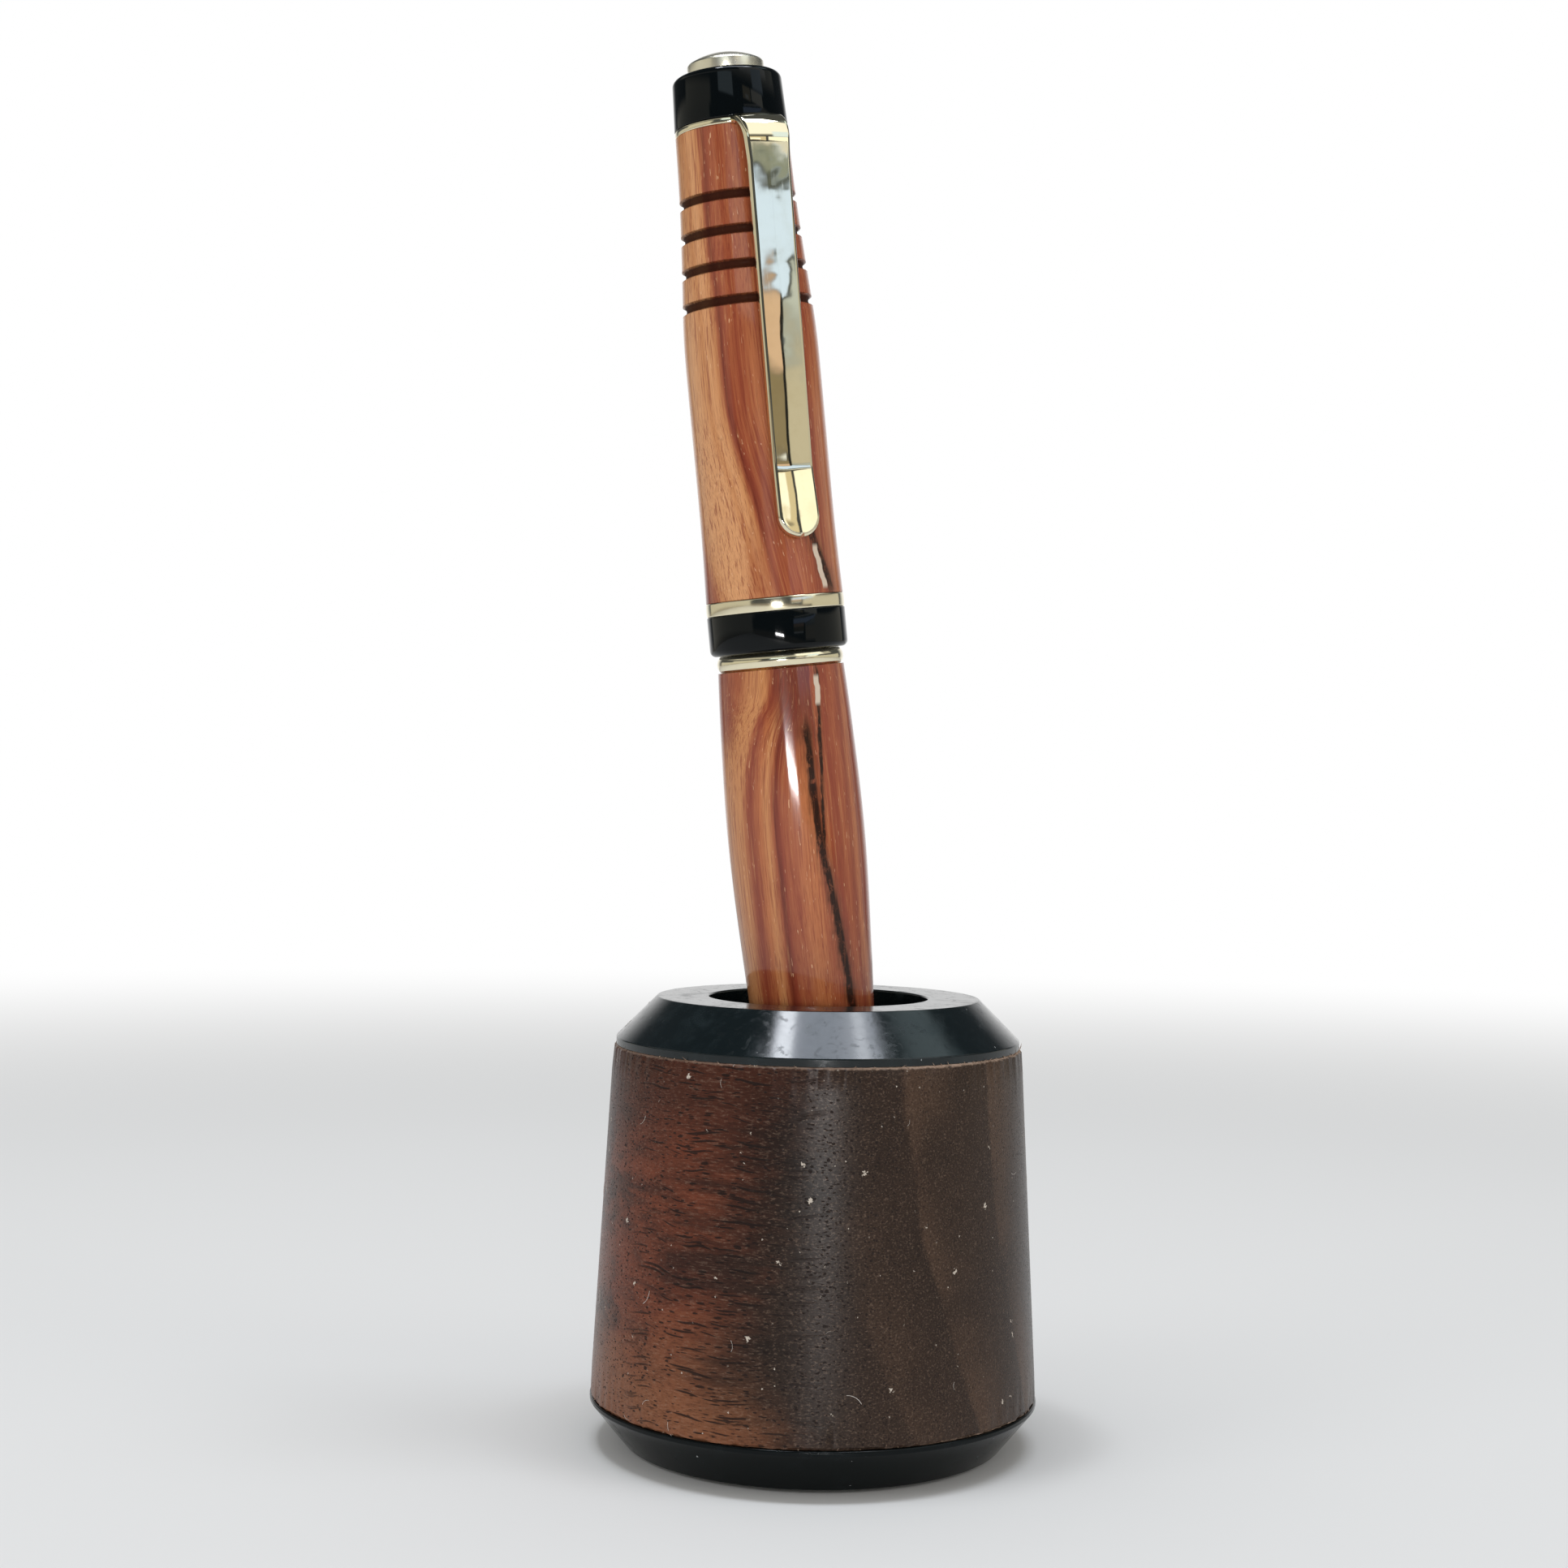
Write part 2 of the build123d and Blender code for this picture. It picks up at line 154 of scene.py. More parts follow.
class Tree:
    def __init__(self, nodeTree):
        self.nodeTree = nodeTree
        nodeTree.nodes.clear()

    def node(self, kind, settings=None, sockets=None, out=0):
        made = self.nodeTree.nodes.new(kind)
        for key, value in (settings or {}).items():
            if key == "stops":
                self.setStops(made.color_ramp, value)
            elif key == "points":
                self.setPoints(made.mapping, value)
            else:
                setattr(made, key, value)
        for key, value in (sockets or {}).items():
            if isinstance(value, Wire):
                self.nodeTree.links.new(value.socket, made.inputs[key])
            else:
                made.inputs[key].default_value = value
        return Wire(self, made.outputs[out]) if made.outputs else None

    def setStops(self, ramp, stops):
        while len(ramp.elements) < len(stops):
            ramp.elements.new(1)
        for element, (place, colour) in zip(ramp.elements, stops):
            element.position = place
            element.color = colour

    def setPoints(self, mapping, points):
        curve = mapping.curves[0]
        while len(curve.points) < len(points):
            curve.points.new(0.5, 0.5)
        for point, place in zip(curve.points, points):
            point.location = place
        mapping.update()

    def step(self, value, start, end):  # 0 before start, 1 after end, smooth between
        settings = {"interpolation_type": "SMOOTHSTEP"}
        return self.node("ShaderNodeMapRange", settings, {0: value, 1: start, 2: end})

    def within(self, value, start, end, outer, inner):  # 1 between start and end, with soft edges
        begun = self.step(value, start - outer, start + inner)
        return begun * (1 - self.step(value, end - inner, end + outer))

    def mix(self, share, first, second):
        return self.node("ShaderNodeMix", {"data_type": "RGBA"}, {0: share, 6: first, 7: second}, 2)

    def ramp(self, value, *stops):
        return self.node("ShaderNodeValToRGB", {"stops": stops}, {0: value})

    def curve(self, value, *points):
        return self.node("ShaderNodeFloatCurve", {"points": points}, {"Value": value})

    def route(self, share, path, reach=8):  # a line's place across the pen, from stations in millimetres
        points = [(place, (across + reach) / (2 * reach)) for place, across in path]
        return self.curve(share, *points) * (2 * reach) - reach

    def most(self, *wires):
        top = wires[0]
        for wire in wires[1:]:
            top = top.sum("MAXIMUM", top, wire)
        return top

    def reach(self, point, direction):  # how far a point lies along a direction
        settings = {"operation": "DOT_PRODUCT"}
        return self.node("ShaderNodeVectorMath", settings, {0: point, 1: direction}, "Value")

    def parts(self, point):  # a point's three coordinates
        return [self.reach(point, axis) for axis in ((1, 0, 0), (0, 1, 0), (0, 0, 1))]

    def join(self, x, y, z):
        return self.node("ShaderNodeCombineXYZ", {}, {0: x, 1: y, 2: z})

    def scaled(self, vector, factor):
        return self.node("ShaderNodeVectorMath", {"operation": "SCALE"}, {0: vector, "Scale": factor})

    def redOf(self, colour):
        return self.node("ShaderNodeSeparateColor", {}, {0: colour})

    def grain(self, point, scale, detail=2.0, roughness=0.5, distortion=0.0):
        return self.node("ShaderNodeTexNoise", {}, {"Vector": point, "Scale": scale, "Detail": detail,
                                                    "Roughness": roughness, "Distortion": distortion})

    def stretched(self, parts, scales, *settings):  # grain with its own scale along each axis
        return self.grain(self.join(*[part * scale for part, scale in zip(parts, scales)]), 1.0, *settings)

    def cells(self, point, scale, out="Distance"):
        return self.node("ShaderNodeTexVoronoi", {}, {"Vector": point, "Scale": scale}, out)

    def millimetres(self):  # the piece's own coordinates, in millimetres
        return self.scaled(self.node("ShaderNodeTexCoord", out="Object"), 1 / mm)

    def penPlace(self):  # across, back and up along the pen, in millimetres from its point
        point, axes = self.millimetres(), (penRight, penBack, penUp)
        return [self.reach(point, tuple(axis)) - penTip.dot(axis) / mm for axis in axes]

    def bump(self, height, strength, depth):
        sockets = {"Strength": strength, "Distance": depth * mm, "Height": height}
        return self.node("ShaderNodeBump", {}, sockets)

    def surface(self, **sockets):
        named = {key.replace("_", " "): value for key, value in sockets.items()}
        shader = self.node("ShaderNodeBsdfPrincipled", {}, named)
        self.node("ShaderNodeOutputMaterial", {}, {"Surface": shader})


def newFinish(name):
    material = bpy.data.materials.new(name)
    material.use_nodes = True
    return material, Tree(material.node_tree)


# Fine dust: sparse pale specks of uneven shape, in kinds of (spacing, size, share of spots that hold one)
def dustMask(tree, point, kinds):
    masks = []
    for spacing, size, share in kinds:
        wobble = {"Vector": point, "Scale": 1.2 / size, "Detail": 1.0}
        shift = tree.scaled(tree.node("ShaderNodeTexNoise", {}, wobble, "Color"), size * 3.0)
        place = tree.node("ShaderNodeVectorMath", {"operation": "ADD"}, {0: point, 1: shift})
        near = tree.cells(place, 1 / spacing) * spacing
        draw = tree.redOf(tree.cells(place, 1 / spacing, "Color"))
        chosen = tree.step(draw, 1 - share, 1 - share + 0.01)
        masks.append((1 - tree.step(near, size * 0.55, size)) * chosen)
    return tree.most(*masks)


# Walnut: the fibres run level, from behind on the left to the front on the right, so the right is end grain
walnutLook = {
    "fibreTurn": 28, "girth": 23.5, "redSpan": (5, 40), "redReach": 20,
    "redEdge": [(0, 0.86), (0.08, 0.78), (0.22, 0.56), (0.5, 0.64), (0.8, 0.8), (1, 0.86)],
    "ringCentre": (86, 42), "ringSpan": (60, 120),
    "rings": [(60, 0.1), (68.8, 0.5), (69.2, 0), (79.8, 0.6), (80.2, 0), (84, 0.15), (90, 1), (90.4, 0.1),
              (94, 0.2), (100, 0.9), (100.5, 0), (103, 0.1), (107, 0.55), (107.6, 0.05), (112, 0.3),
              (120, 0.1)],
    "dashes": {"length": 6.0, "width": 0.42, "size": 0.43}, "dashEnds": (64.0, 72.0),
    "flecks": {"length": 1.8, "width": 0.3, "size": 0.42},
    "topRim": (43.85, 44.1), "footRim": (5.45, 5.7), "specks": [(1.2, 0.1, 0.36), (3.1, 0.3, 0.34)],
    "dark": tone(30, 22, 18), "brown": tone(42, 31, 25), "umber": tone(54, 41, 33), "red": tone(106, 54, 35),
    "redDark": tone(54, 28, 20), "orange": tone(124, 79, 53), "pore": tone(24, 14, 11),
    "band": tone(90, 68, 53), "raw": tone(158, 134, 116), "dust": tone(205, 194, 180),
    "roughness": 0.3, "shine": 0.16,
}


def poreMask(tree, along, across, height, size):
    place = tree.join(along / size["length"], across / size["width"], height / size["width"])
    edge = size["size"] * (0.35 + 0.65 * tree.redOf(tree.cells(place, 1.0, "Color")))
    return 1 - tree.step(tree.cells(place, 1.0) / edge, 0.65, 1.0)


def walnutFinish(name, look):
    material, tree = newFinish(name)
    point = tree.millimetres()
    turn = math.radians(look["fibreTurn"])
    along = tree.reach(point, (math.cos(turn), -math.sin(turn), 0))
    across = tree.reach(point, (math.sin(turn), math.cos(turn), 0))
    side, depth, height = tree.parts(point)
    endGrain = abs(along / (side * side + depth * depth) ** 0.5)
    # Slow changes of colour and fine fibres, both drawn out along the grain
    fibrePlace = (along, across, height)
    cloud = tree.stretched(fibrePlace, (0.035, 0.07, 0.075), 3.0, 0.55, 0.3)
    streak = tree.stretched(fibrePlace, (0.06, 0.9, 0.9), 4.0, 0.6)
    fibre = tree.stretched(fibrePlace, (0.9, 5.5, 5.5), 3.0, 0.65)
    # The heart of the block is dark, and its left side runs from dark red at the top to orange at the foot
    redLow, redHeight = look["redSpan"]
    edge = (tree.curve((height - redLow) / redHeight, *look["redEdge"]) - 0.5) * look["redReach"]
    leftShare = tree.step(edge - along + (cloud - 0.5) * 12 + (streak - 0.5) * 4, -6.0, 7.0)
    dark = tree.mix(tree.step(cloud + (streak - 0.5) * 0.5, 0.36, 0.62), look["dark"], look["brown"])
    dark = tree.mix(tree.step(along, 9.0, 22.0) * 0.55, dark, look["umber"])
    layer = tree.stretched(fibrePlace, (0.03, 0.16, 0.2), 3.0, 0.6, 0.4)
    red = tree.mix(tree.step(layer + (streak - 0.5) * 0.4, 0.32, 0.62), look["redDark"], look["red"])
    red = tree.mix(tree.step(height + (cloud - 0.5) * 12, 30.0, 40.0) * 0.8, red, look["redDark"])
    foot = tree.step((cloud - 0.5) * 14 + (streak - 0.5) * 8 - height, -19.0, -9.0)
    red = tree.mix(foot * 0.85, red, look["orange"])
    colour = tree.mix(leftShare, dark, red)
    # Growth rings: each starts sharply and fades to the right
    centre, (ringLow, ringHigh) = look["ringCentre"], look["ringSpan"]
    fromCentre = ((across - centre[0]) ** 2 + (height - centre[1]) ** 2) ** 0.5
    wander = (tree.stretched(fibrePlace, (0.03, 0.09, 0.06)) - 0.5) * 3 + (fibre - 0.5) * 0.5
    width = ringHigh - ringLow
    shades = [((place - ringLow) / width, (shade, shade, shade, 1)) for place, shade in look["rings"]]
    ring = tree.redOf(tree.ramp((fromCentre + wander - ringLow) / width, *shades))
    patch = tree.step(tree.stretched(fibrePlace, (0.1, 0.1, 0.07)), 0.3, 0.65)
    colour = tree.mix(ring * patch * 0.55 * tree.step(endGrain, 0.4, 0.85), colour, look["band"])
    # Fibres and open pores: dashes round the side grain, dots on the end grain
    mottle = tree.grain(point, 3.4, 3.0, 0.7)
    colour = tree.mix(tree.step(fibre + (mottle - 0.5) * 0.4, 0.46, 0.8) * 0.6, colour, look["pore"])
    colour = tree.mix(tree.step(1 - fibre + (mottle - 0.5) * 0.4, 0.5, 0.85) * 0.36, colour, look["raw"])
    drift = (tree.stretched(fibrePlace, (0.09, 0.09, 0.02)) - 0.5) * 4
    around = side.sum("ARCTAN2", side, depth * -1) * look["girth"]
    dashes = poreMask(tree, around + (streak - 0.5) * 2, 0.0, height + drift, look["dashes"])
    dashes = dashes * (1 - tree.step(endGrain, 0.25, 0.6)) * (1 - tree.step(abs(around), *look["dashEnds"]))
    flecks = poreMask(tree, along, across, height + (streak - 0.5), look["flecks"])
    pores = tree.most(dashes, flecks) * 0.85 * (1 - 0.4 * tree.step(endGrain, 0.6, 0.85))
    colour = tree.mix(pores, colour, look["pore"])
    # Raw rims, pale and torn, mostly on the right
    torn = tree.grain(point, 2.4, 3.0, 0.65)
    ragged = (torn - 0.5) * 0.5
    rim = tree.step(height + ragged, *look["topRim"])
    low = 1 - tree.step(height - ragged, *look["footRim"])
    raw = rim * (0.35 + 0.5 * tree.step(side, -6.0, 14.0)) + low * (0.1 + 0.6 * tree.step(side, 9.0, 18.0))
    colour = tree.mix(raw, colour, look["raw"])
    specks = dustMask(tree, point, look["specks"])
    colour = tree.mix(specks * 0.8, colour, look["dust"])
    rough = look["roughness"] + (fibre - 0.5) * 0.2 + raw * 0.3 + pores * 0.25 + specks * 0.3
    relief = tree.bump(fibre * 0.35 - pores + torn * raw + specks * 0.6, 0.35, 0.09)
    tree.surface(Base_Color=colour, Roughness=rough, Normal=relief, Specular_IOR_Level=look["shine"])
    return material


# Black turned resin of the collar and the foot: handled, dusty, with faint marks of the lathe. Both are one
# resin: the foot's darker tone and haze are painted shade, and the collar's lighter ones are painted light
footShadedLook = {
    "colour": tone(7, 12, 13), "bloom": tone(24, 31, 33), "dust": tone(178, 180, 180), "roughness": 0.13,
    "shine": 0.14, "specks": [(1.5, 0.09, 0.25), (3.8, 0.16, 0.3)],
}
# Painted light: the collar's base tone and haze are set lighter than the foot's, as the same resin lit from
# above
collarLitLook = dict(footShadedLook, colour=tone(14, 22, 24), bloom=tone(40, 51, 54), shine=0.38)


def resinFinish(name, look):
    material, tree = newFinish(name)
    point = tree.millimetres()
    side, depth, height = tree.parts(point)
    radius = (side * side + depth * depth) ** 0.5
    fine = tree.grain(point, 1.7, 3.0, 0.65)
    lathe = tree.grain(tree.join(radius, height, 0.0), 5.0, 2.0, 0.6)
    bloom = tree.step(tree.grain(point, 0.2, 5.0, 0.65, 0.6), 0.48, 0.72)
    blot = tree.step(tree.grain(point, 0.75, 4.0, 0.7, 0.8), 0.56, 0.62)
    specks = dustMask(tree, point, look["specks"])
    colour = tree.mix(bloom * 0.3, look["colour"], look["bloom"])
    colour = tree.mix(specks * 0.85, colour, look["dust"])
    rough = look["roughness"] + bloom * 0.12 + (fine - 0.5) * 0.1 + blot * 0.1 + specks * 0.3
    relief = tree.bump(fine * 0.5 + lathe * 0.25 + specks, 0.1, 0.05)
    tree.surface(Base_Color=colour, Roughness=rough, Normal=relief, Specular_IOR_Level=look["shine"])
    return material


# Glossy black of the finial and the centre band
glossLook = {
    "colour": tone(6, 10, 12), "dust": tone(185, 185, 185), "roughness": 0.04, "shine": 0.2,
    "specks": [(1.9, 0.1, 0.06)],
}


def glossFinish(name, look):
    material, tree = newFinish(name)
    point = tree.millimetres()
    specks = dustMask(tree, point, look["specks"])
    colour = tree.mix(specks * 0.7, look["colour"], look["dust"])
    rough = look["roughness"] + tree.grain(point, 0.5, 3.0, 0.6) * 0.02 + specks * 0.3
    tree.surface(Base_Color=colour, Roughness=rough, Specular_IOR_Level=look["shine"])
    return material


# Pale gold plating: bright on the clip and nib, softer on the rings, satin on the button
goldLook = {"colour": tone(239, 230, 200), "worn": tone(230, 219, 186), "roughness": 0.015}
ringLook = {"colour": tone(243, 234, 204), "worn": tone(233, 222, 190), "roughness": 0.1}
buttonLook = {"colour": tone(250, 245, 226), "worn": tone(242, 235, 210), "roughness": 0.26}


def goldFinish(name, look):
    material, tree = newFinish(name)
    point = tree.millimetres()
    haze = tree.grain(point, 0.35, 4.0, 0.6)
    brushed = [tree.reach(point, direction) for direction in ((9, 1, 0), (0, 9, 1), (0.2, 0.2, 0.5))]
    scratch = tree.grain(tree.join(*brushed), 0.6, 3.0, 0.7)
    colour = tree.mix(tree.step(haze, 0.45, 0.75) * 0.6, look["colour"], look["worn"])
    rough = look["roughness"] + haze * 0.03 + tree.step(scratch, 0.6, 0.75) * 0.05
    relief = tree.bump(scratch, 0.012, 0.02)
    tree.surface(Base_Color=colour, Metallic=1.0, Roughness=rough, Normal=relief)
    return material


# Pen wood: stripes along the pen that bend near the middle, a cracked dark vein with pale filler, hard gloss
penWood = {
    "pale": tone(210, 152, 104), "tan": tone(194, 132, 84), "orange": tone(177, 105, 64),
    "mid": tone(157, 84, 53), "red": tone(134, 60, 40), "deep": tone(104, 40, 26), "plum": tone(108, 52, 40),
    "vein": tone(30, 17, 11), "veinEdge": tone(88, 48, 29), "filler": tone(202, 184, 164),
    "burn": tone(46, 21, 13), "fleck": tone(226, 180, 138), "coatRoughness": 0.09, "shine": 0.06,
}
# Each figure: stripes of (millimetres across, tone), how they bend up the barrel, stains, veins and filler
lowerFigure = {
    "low": 14.0, "length": 52.0, "reach": 9.0, "bendEnd": (0.5, 3.0),
    "bend": [(0, 0.1), (0.3, 0.085), (0.5, 0.06), (0.6, 0.05), (0.7, 0.06), (0.75, 0.085), (0.8, 0.125),
             (0.846, 0.18), (0.895, 0.28), (0.94, 0.4), (1, 0.46)],
    "stops": [(-9, "mid"), (-7.4, "tan"), (-6.1, "tan"), (-5.6, "mid"), (-5.2, "red"), (-4.8, "mid"),
              (-4.3, "orange"), (-3.6, "tan"), (-3.0, "mid"), (-2.6, "deep"), (-2.2, "red"), (-1.7, "mid"),
              (-0.9, "mid"), (0.2, "orange"), (1.0, "orange"), (1.8, "orange"), (2.6, "mid"), (3.6, "mid"),
              (4.6, "red"), (5.6, "mid"), (6.3, "red"), (6.8, "orange"), (7.3, "red"), (9, "mid")],
    "stains": [
        {"tone": "plum", "share": (0.76, 0.92), "across": (-2.0, 0.0), "end": (2.9, 3.5), "weight": 0.95},
        {"tone": "red", "share": (0.8, 0.9), "across": (-12, -11), "end": (-6.0, -5.2), "weight": 0.7},
    ],
    "veins": [
        {"width": 0.42, "span": (-1, 47), "path": [
            (0, 4.9), (0.27, 4.5), (0.36, 4.2), (0.457, 3.75), (0.554, 3.2), (0.622, 2.65), (0.7, 2.45),
            (0.73, 2.4), (0.8, 2.3), (0.9, 2.25), (1, 2.2)]},
        {"width": 0.17, "span": (28, 53), "path": [
            (0, 4.6), (0.5, 3.6), (0.6, 3.0), (0.66, 3.1), (0.73, 3.3), (0.83, 3.55), (0.91, 3.75),
            (1, 3.9)]},
    ],
    "filler": {"path": [(0, 3.75), (1, 3.75)], "span": (47.8, 50.9), "width": 0.3},
}
upperFigure = {
    "low": 73.79, "length": 50.86, "reach": 14.0, "bendEnd": (3.0, 6.0),
    "bend": [(0, 0.37), (0.05, 0.325), (0.1, 0.282), (0.159, 0.235), (0.224, 0.183), (0.277, 0.122),
             (0.337, 0.062), (0.39, 0.024), (0.468, 0.006), (0.6, 0), (1, 0)],
    "stops": [(-14, "deep"), (-10.3, "red"), (-9.6, "mid"), (-9.0, "tan"), (-8.2, "pale"), (-5.6, "pale"),
              (-4.9, "tan"), (-4.4, "pale"), (-3.7, "tan"), (-3.35, "mid"), (-3.05, "deep"), (-2.7, "red"),
              (-2.3, "mid"), (-1.8, "mid"), (-1.4, "red"), (-1.1, "mid"), (-0.7, "mid"), (0.1, "orange"),
              (1.0, "mid"), (2.6, "mid"), (4.4, "red"), (5.2, "mid"), (6.0, "red"), (6.5, "mid"),
              (7.2, "orange"), (14, "orange")],
    "stains": [
        {"tone": "mid", "share": (0.45, 0.75), "across": (-4.0, -2.2), "end": (6.0, 9.0), "weight": 0.5},
        {"tone": "mid", "share": (0.2, 0.06), "across": (-3.4, -1.8), "end": (2.5, 4.5), "weight": 0.6},
    ],
    "veins": [
        {"width": 0.42, "span": (-1, 9.5), "path": [
            (0, 6.4), (0.024, 6.1), (0.083, 5.3), (0.136, 4.6), (0.2, 4.1), (1, 3.6)]},
    ],
    "filler": {"path": [(0, 5.75), (0.05, 5.35), (0.1, 4.95), (1, 4.9)], "span": (0.6, 5.2), "width": 0.28},
}
grooveLayout = {"count": 4, "highest": 117.2, "pitch": 3.77, "halfWidth": 0.55}
grooves = [(grooveLayout["highest"] - number * grooveLayout["pitch"], grooveLayout["halfWidth"])
           for number in range(grooveLayout["count"])]


def penWoodFinish(name, wood, figure, burns):
    material, tree = newFinish(name)
    penPlace = tree.penPlace()
    across, back, up = penPlace
    local = up - figure["low"]
    share = local / figure["length"]
    reach = figure["reach"]
    sway = (tree.stretched(penPlace, (0.12, 0.12, 0.06)) - 0.5) * 0.9
    fibre = tree.stretched(penPlace, (2.6, 2.6, 0.05), 4.0, 0.65)
    bend = tree.curve(share, *figure["bend"]) * 10 * (1 - tree.step(across, *figure["bendEnd"]))
    stripe = across - bend + sway + (fibre - 0.5) * 0.7 + back * 0.1 + 0.7
    colours = [((place + reach) / (2 * reach), wood[key]) for place, key in figure["stops"]]
    colour = tree.ramp((stripe + reach) / (2 * reach), *colours)
    edge = across + (fibre - 0.5) * 2.5
    for stain in figure["stains"]:
        patch = tree.step(share, *stain["share"]) * tree.step(edge, *stain["across"])
        patch = patch * (1 - tree.step(edge, *stain["end"])) * stain["weight"]
        colour = tree.mix(patch, colour, wood[stain["tone"]])
    # Finer lines and fibres within the broad stripes
    bent = (across - bend, back, up)
    line = tree.stretched(bent, (4.2, 4.2, 0.07), 3.0, 0.7)
    fine = tree.stretched(bent, (13, 13, 0.3), 2.0, 0.6)
    colour = tree.mix(tree.step(line, 0.5, 0.66) * 0.7, colour, wood["red"])
    colour = tree.mix(tree.step(1 - line, 0.52, 0.72) * 0.4, colour, wood["tan"])
    colour = tree.mix(tree.step(fine, 0.5, 0.74) * 0.5, colour, wood["deep"])
    flecks = tree.step(tree.stretched((stripe, back, up), (6.5, 6.5, 0.75), 1.0), 0.71, 0.75)
    colour = tree.mix(flecks * 0.6, colour, wood["fleck"])
    # Veins on the front: ragged along the fibres, brown inside, with pale filler near one end
    shred = tree.stretched(penPlace, (4.5, 4.5, 0.35), 3.0, 0.65)
    swell = tree.grain(tree.join(0.0, 0.0, up * 0.45), 1.0, 2.0, 0.6)
    front = tree.step(back * -1, 0.0, 1.0)
    broken = tree.step(tree.stretched(penPlace, (1.6, 1.6, 1.1), 3.0, 0.7), 0.3, 0.5)
    seams, halos = [], []
    for vein in figure["veins"]:
        off = abs(across - tree.route(share, vein["path"]) + (shred - 0.5) * 0.55 + (swell - 0.5) * 0.35)
        inSpan = tree.within(local, *vein["span"], 0.5, 2.5)
        width = vein["width"] * (0.3 + 1.4 * swell) * (0.35 + 0.65 * inSpan)
        shown = inSpan * front
        seams.append((1 - tree.step(off / width, 0.5, 1.3)) * shown * (0.35 + 0.65 * broken))
        halos.append((1 - tree.step(off / width, 0.8, 3.0)) * shown * tree.step(shred, 0.3, 0.6))
    crack = tree.most(*seams)
    colour = tree.mix(tree.most(*halos) * 0.65, colour, wood["veinEdge"])
    veinTone = tree.mix(tree.step(shred, 0.5, 0.7) * 0.6, wood["vein"], wood["veinEdge"])
    colour = tree.mix(crack * 0.95, colour, veinTone)
    filler = figure["filler"]
    off = abs(across - tree.route(share, filler["path"]) + (swell - 0.5) * 0.6)
    filled = tree.within(local, *filler["span"], 0.3, 0.3) * front
    colour = tree.mix(filled * (1 - tree.step(off / filler["width"], 0.7, 1.1)), colour, wood["filler"])
    rough, coat = 0.42 + (fibre - 0.5) * 0.1, 0.85 - crack * 0.4
    if burns:  # the grooves are burned dark and dull
        rings = [(abs(up - place + (shred - 0.5) * 0.3), halfWidth) for place, halfWidth in burns]
        burnt = tree.most(*[1 - tree.step(off, half * 0.6, half * 1.25) for off, half in rings])
        colour = tree.mix(burnt * 0.95, colour, wood["burn"])
        rough, coat = rough + burnt * 0.4, coat * (1 - burnt * 0.97)
    relief = tree.bump(fine * 0.2 - crack - flecks * 0.2, 0.1, 0.06)
    tree.surface(Base_Color=colour, Roughness=rough, Normal=relief, Coat_Weight=coat,
                 Coat_Roughness=wood["coatRoughness"], Specular_IOR_Level=wood["shine"])
    return material


# Plain finishes of the pieces inside: two tones, metallic, roughness and how fine the unevenness is
insideLooks = {
    "linerFinish": (tone(20, 20, 22), tone(32, 33, 35), 0.0, 0.5, 0.8),
    "steelFinish": (tone(150, 150, 152), tone(120, 119, 118), 1.0, 0.38, 1.5),
    "feltFinish": (tone(30, 30, 33), tone(58, 58, 62), 0.0, 0.95, 5.0),
    "brassFinish": (tone(201, 165, 98), tone(170, 130, 74), 1.0, 0.26, 0.9),
    "springFinish": (tone(186, 187, 190), tone(150, 150, 154), 1.0, 0.2, 2.0),
    "refillFinish": (tone(182, 182, 184), tone(160, 160, 164), 1.0, 0.3, 1.2),
    "pointFinish": (tone(214, 184, 122), tone(186, 152, 92), 1.0, 0.2, 1.4),
    "lintFinish": (tone(214, 208, 200), tone(190, 182, 172), 0.0, 0.8, 3.0),
    "splinterFinish": (tone(168, 144, 124), tone(132, 104, 86), 0.0, 0.8, 3.0),
    "carriageFinish": (tone(46, 46, 50), tone(60, 60, 64), 0.0, 0.42, 1.0),
}


def insideFinish(name, first, second, metallic, roughness, fineness):
    material, tree = newFinish(name)
    uneven = tree.grain(tree.millimetres(), fineness, 4.0, 0.6)
    colour = tree.mix(tree.step(uneven, 0.35, 0.7), first, second)
    rough = roughness + (uneven - 0.5) * 0.2
    tree.surface(Base_Color=colour, Metallic=metallic, Roughness=rough, Normal=tree.bump(uneven, 0.1, 0.05))
    return material


finishes = {name: insideFinish(name, *look) for name, look in insideLooks.items()}
outerLooks = {
    "walnutFinish": (walnutFinish, walnutLook), "collarFinish": (resinFinish, collarLitLook),
    "footFinish": (resinFinish, footShadedLook), "glossFinish": (glossFinish, glossLook),
    "goldFinish": (goldFinish, goldLook), "ringFinish": (goldFinish, ringLook),
    "buttonFinish": (goldFinish, buttonLook), "lowerWoodFinish": (penWoodFinish, penWood, lowerFigure, []),
    "upperWoodFinish": (penWoodFinish, penWood, upperFigure, grooves),
}
finishes.update({name: make(name, *looks) for name, (make, *looks) in outerLooks.items()})
wearers = {
    "walnutFinish": ["walnut_body"], "collarFinish": ["top_collar"], "footFinish": ["base_ring"],
    "linerFinish": ["socket_liner"], "steelFinish": ["ballast_disc"], "feltFinish": ["foot_pad"],
    "glossFinish": ["centre_band", "finial"], "goldFinish": ["nib", "clip_arm"],
    "ringFinish": ["coupler_ring", "trim_ring", "clip_ring"], "buttonFinish": ["finial_button"],
    "lowerWoodFinish": ["lower_barrel"], "upperWoodFinish": ["upper_barrel"],
    "brassFinish": ["lower_tube", "mechanism_sleeve", "band_liner", "upper_tube", "mechanism_driver",
                    "finial_bush"],
    "springFinish": ["refill_spring"], "refillFinish": ["refill_tube"], "pointFinish": ["refill_point"],
    "carriageFinish": ["drive_carriage"],
}
for finish, names in wearers.items():
    for name in names:
        nodes[name].data.materials.clear()
        nodes[name].data.materials.append(finishes[finish])
print("finishes made:", len(finishes))


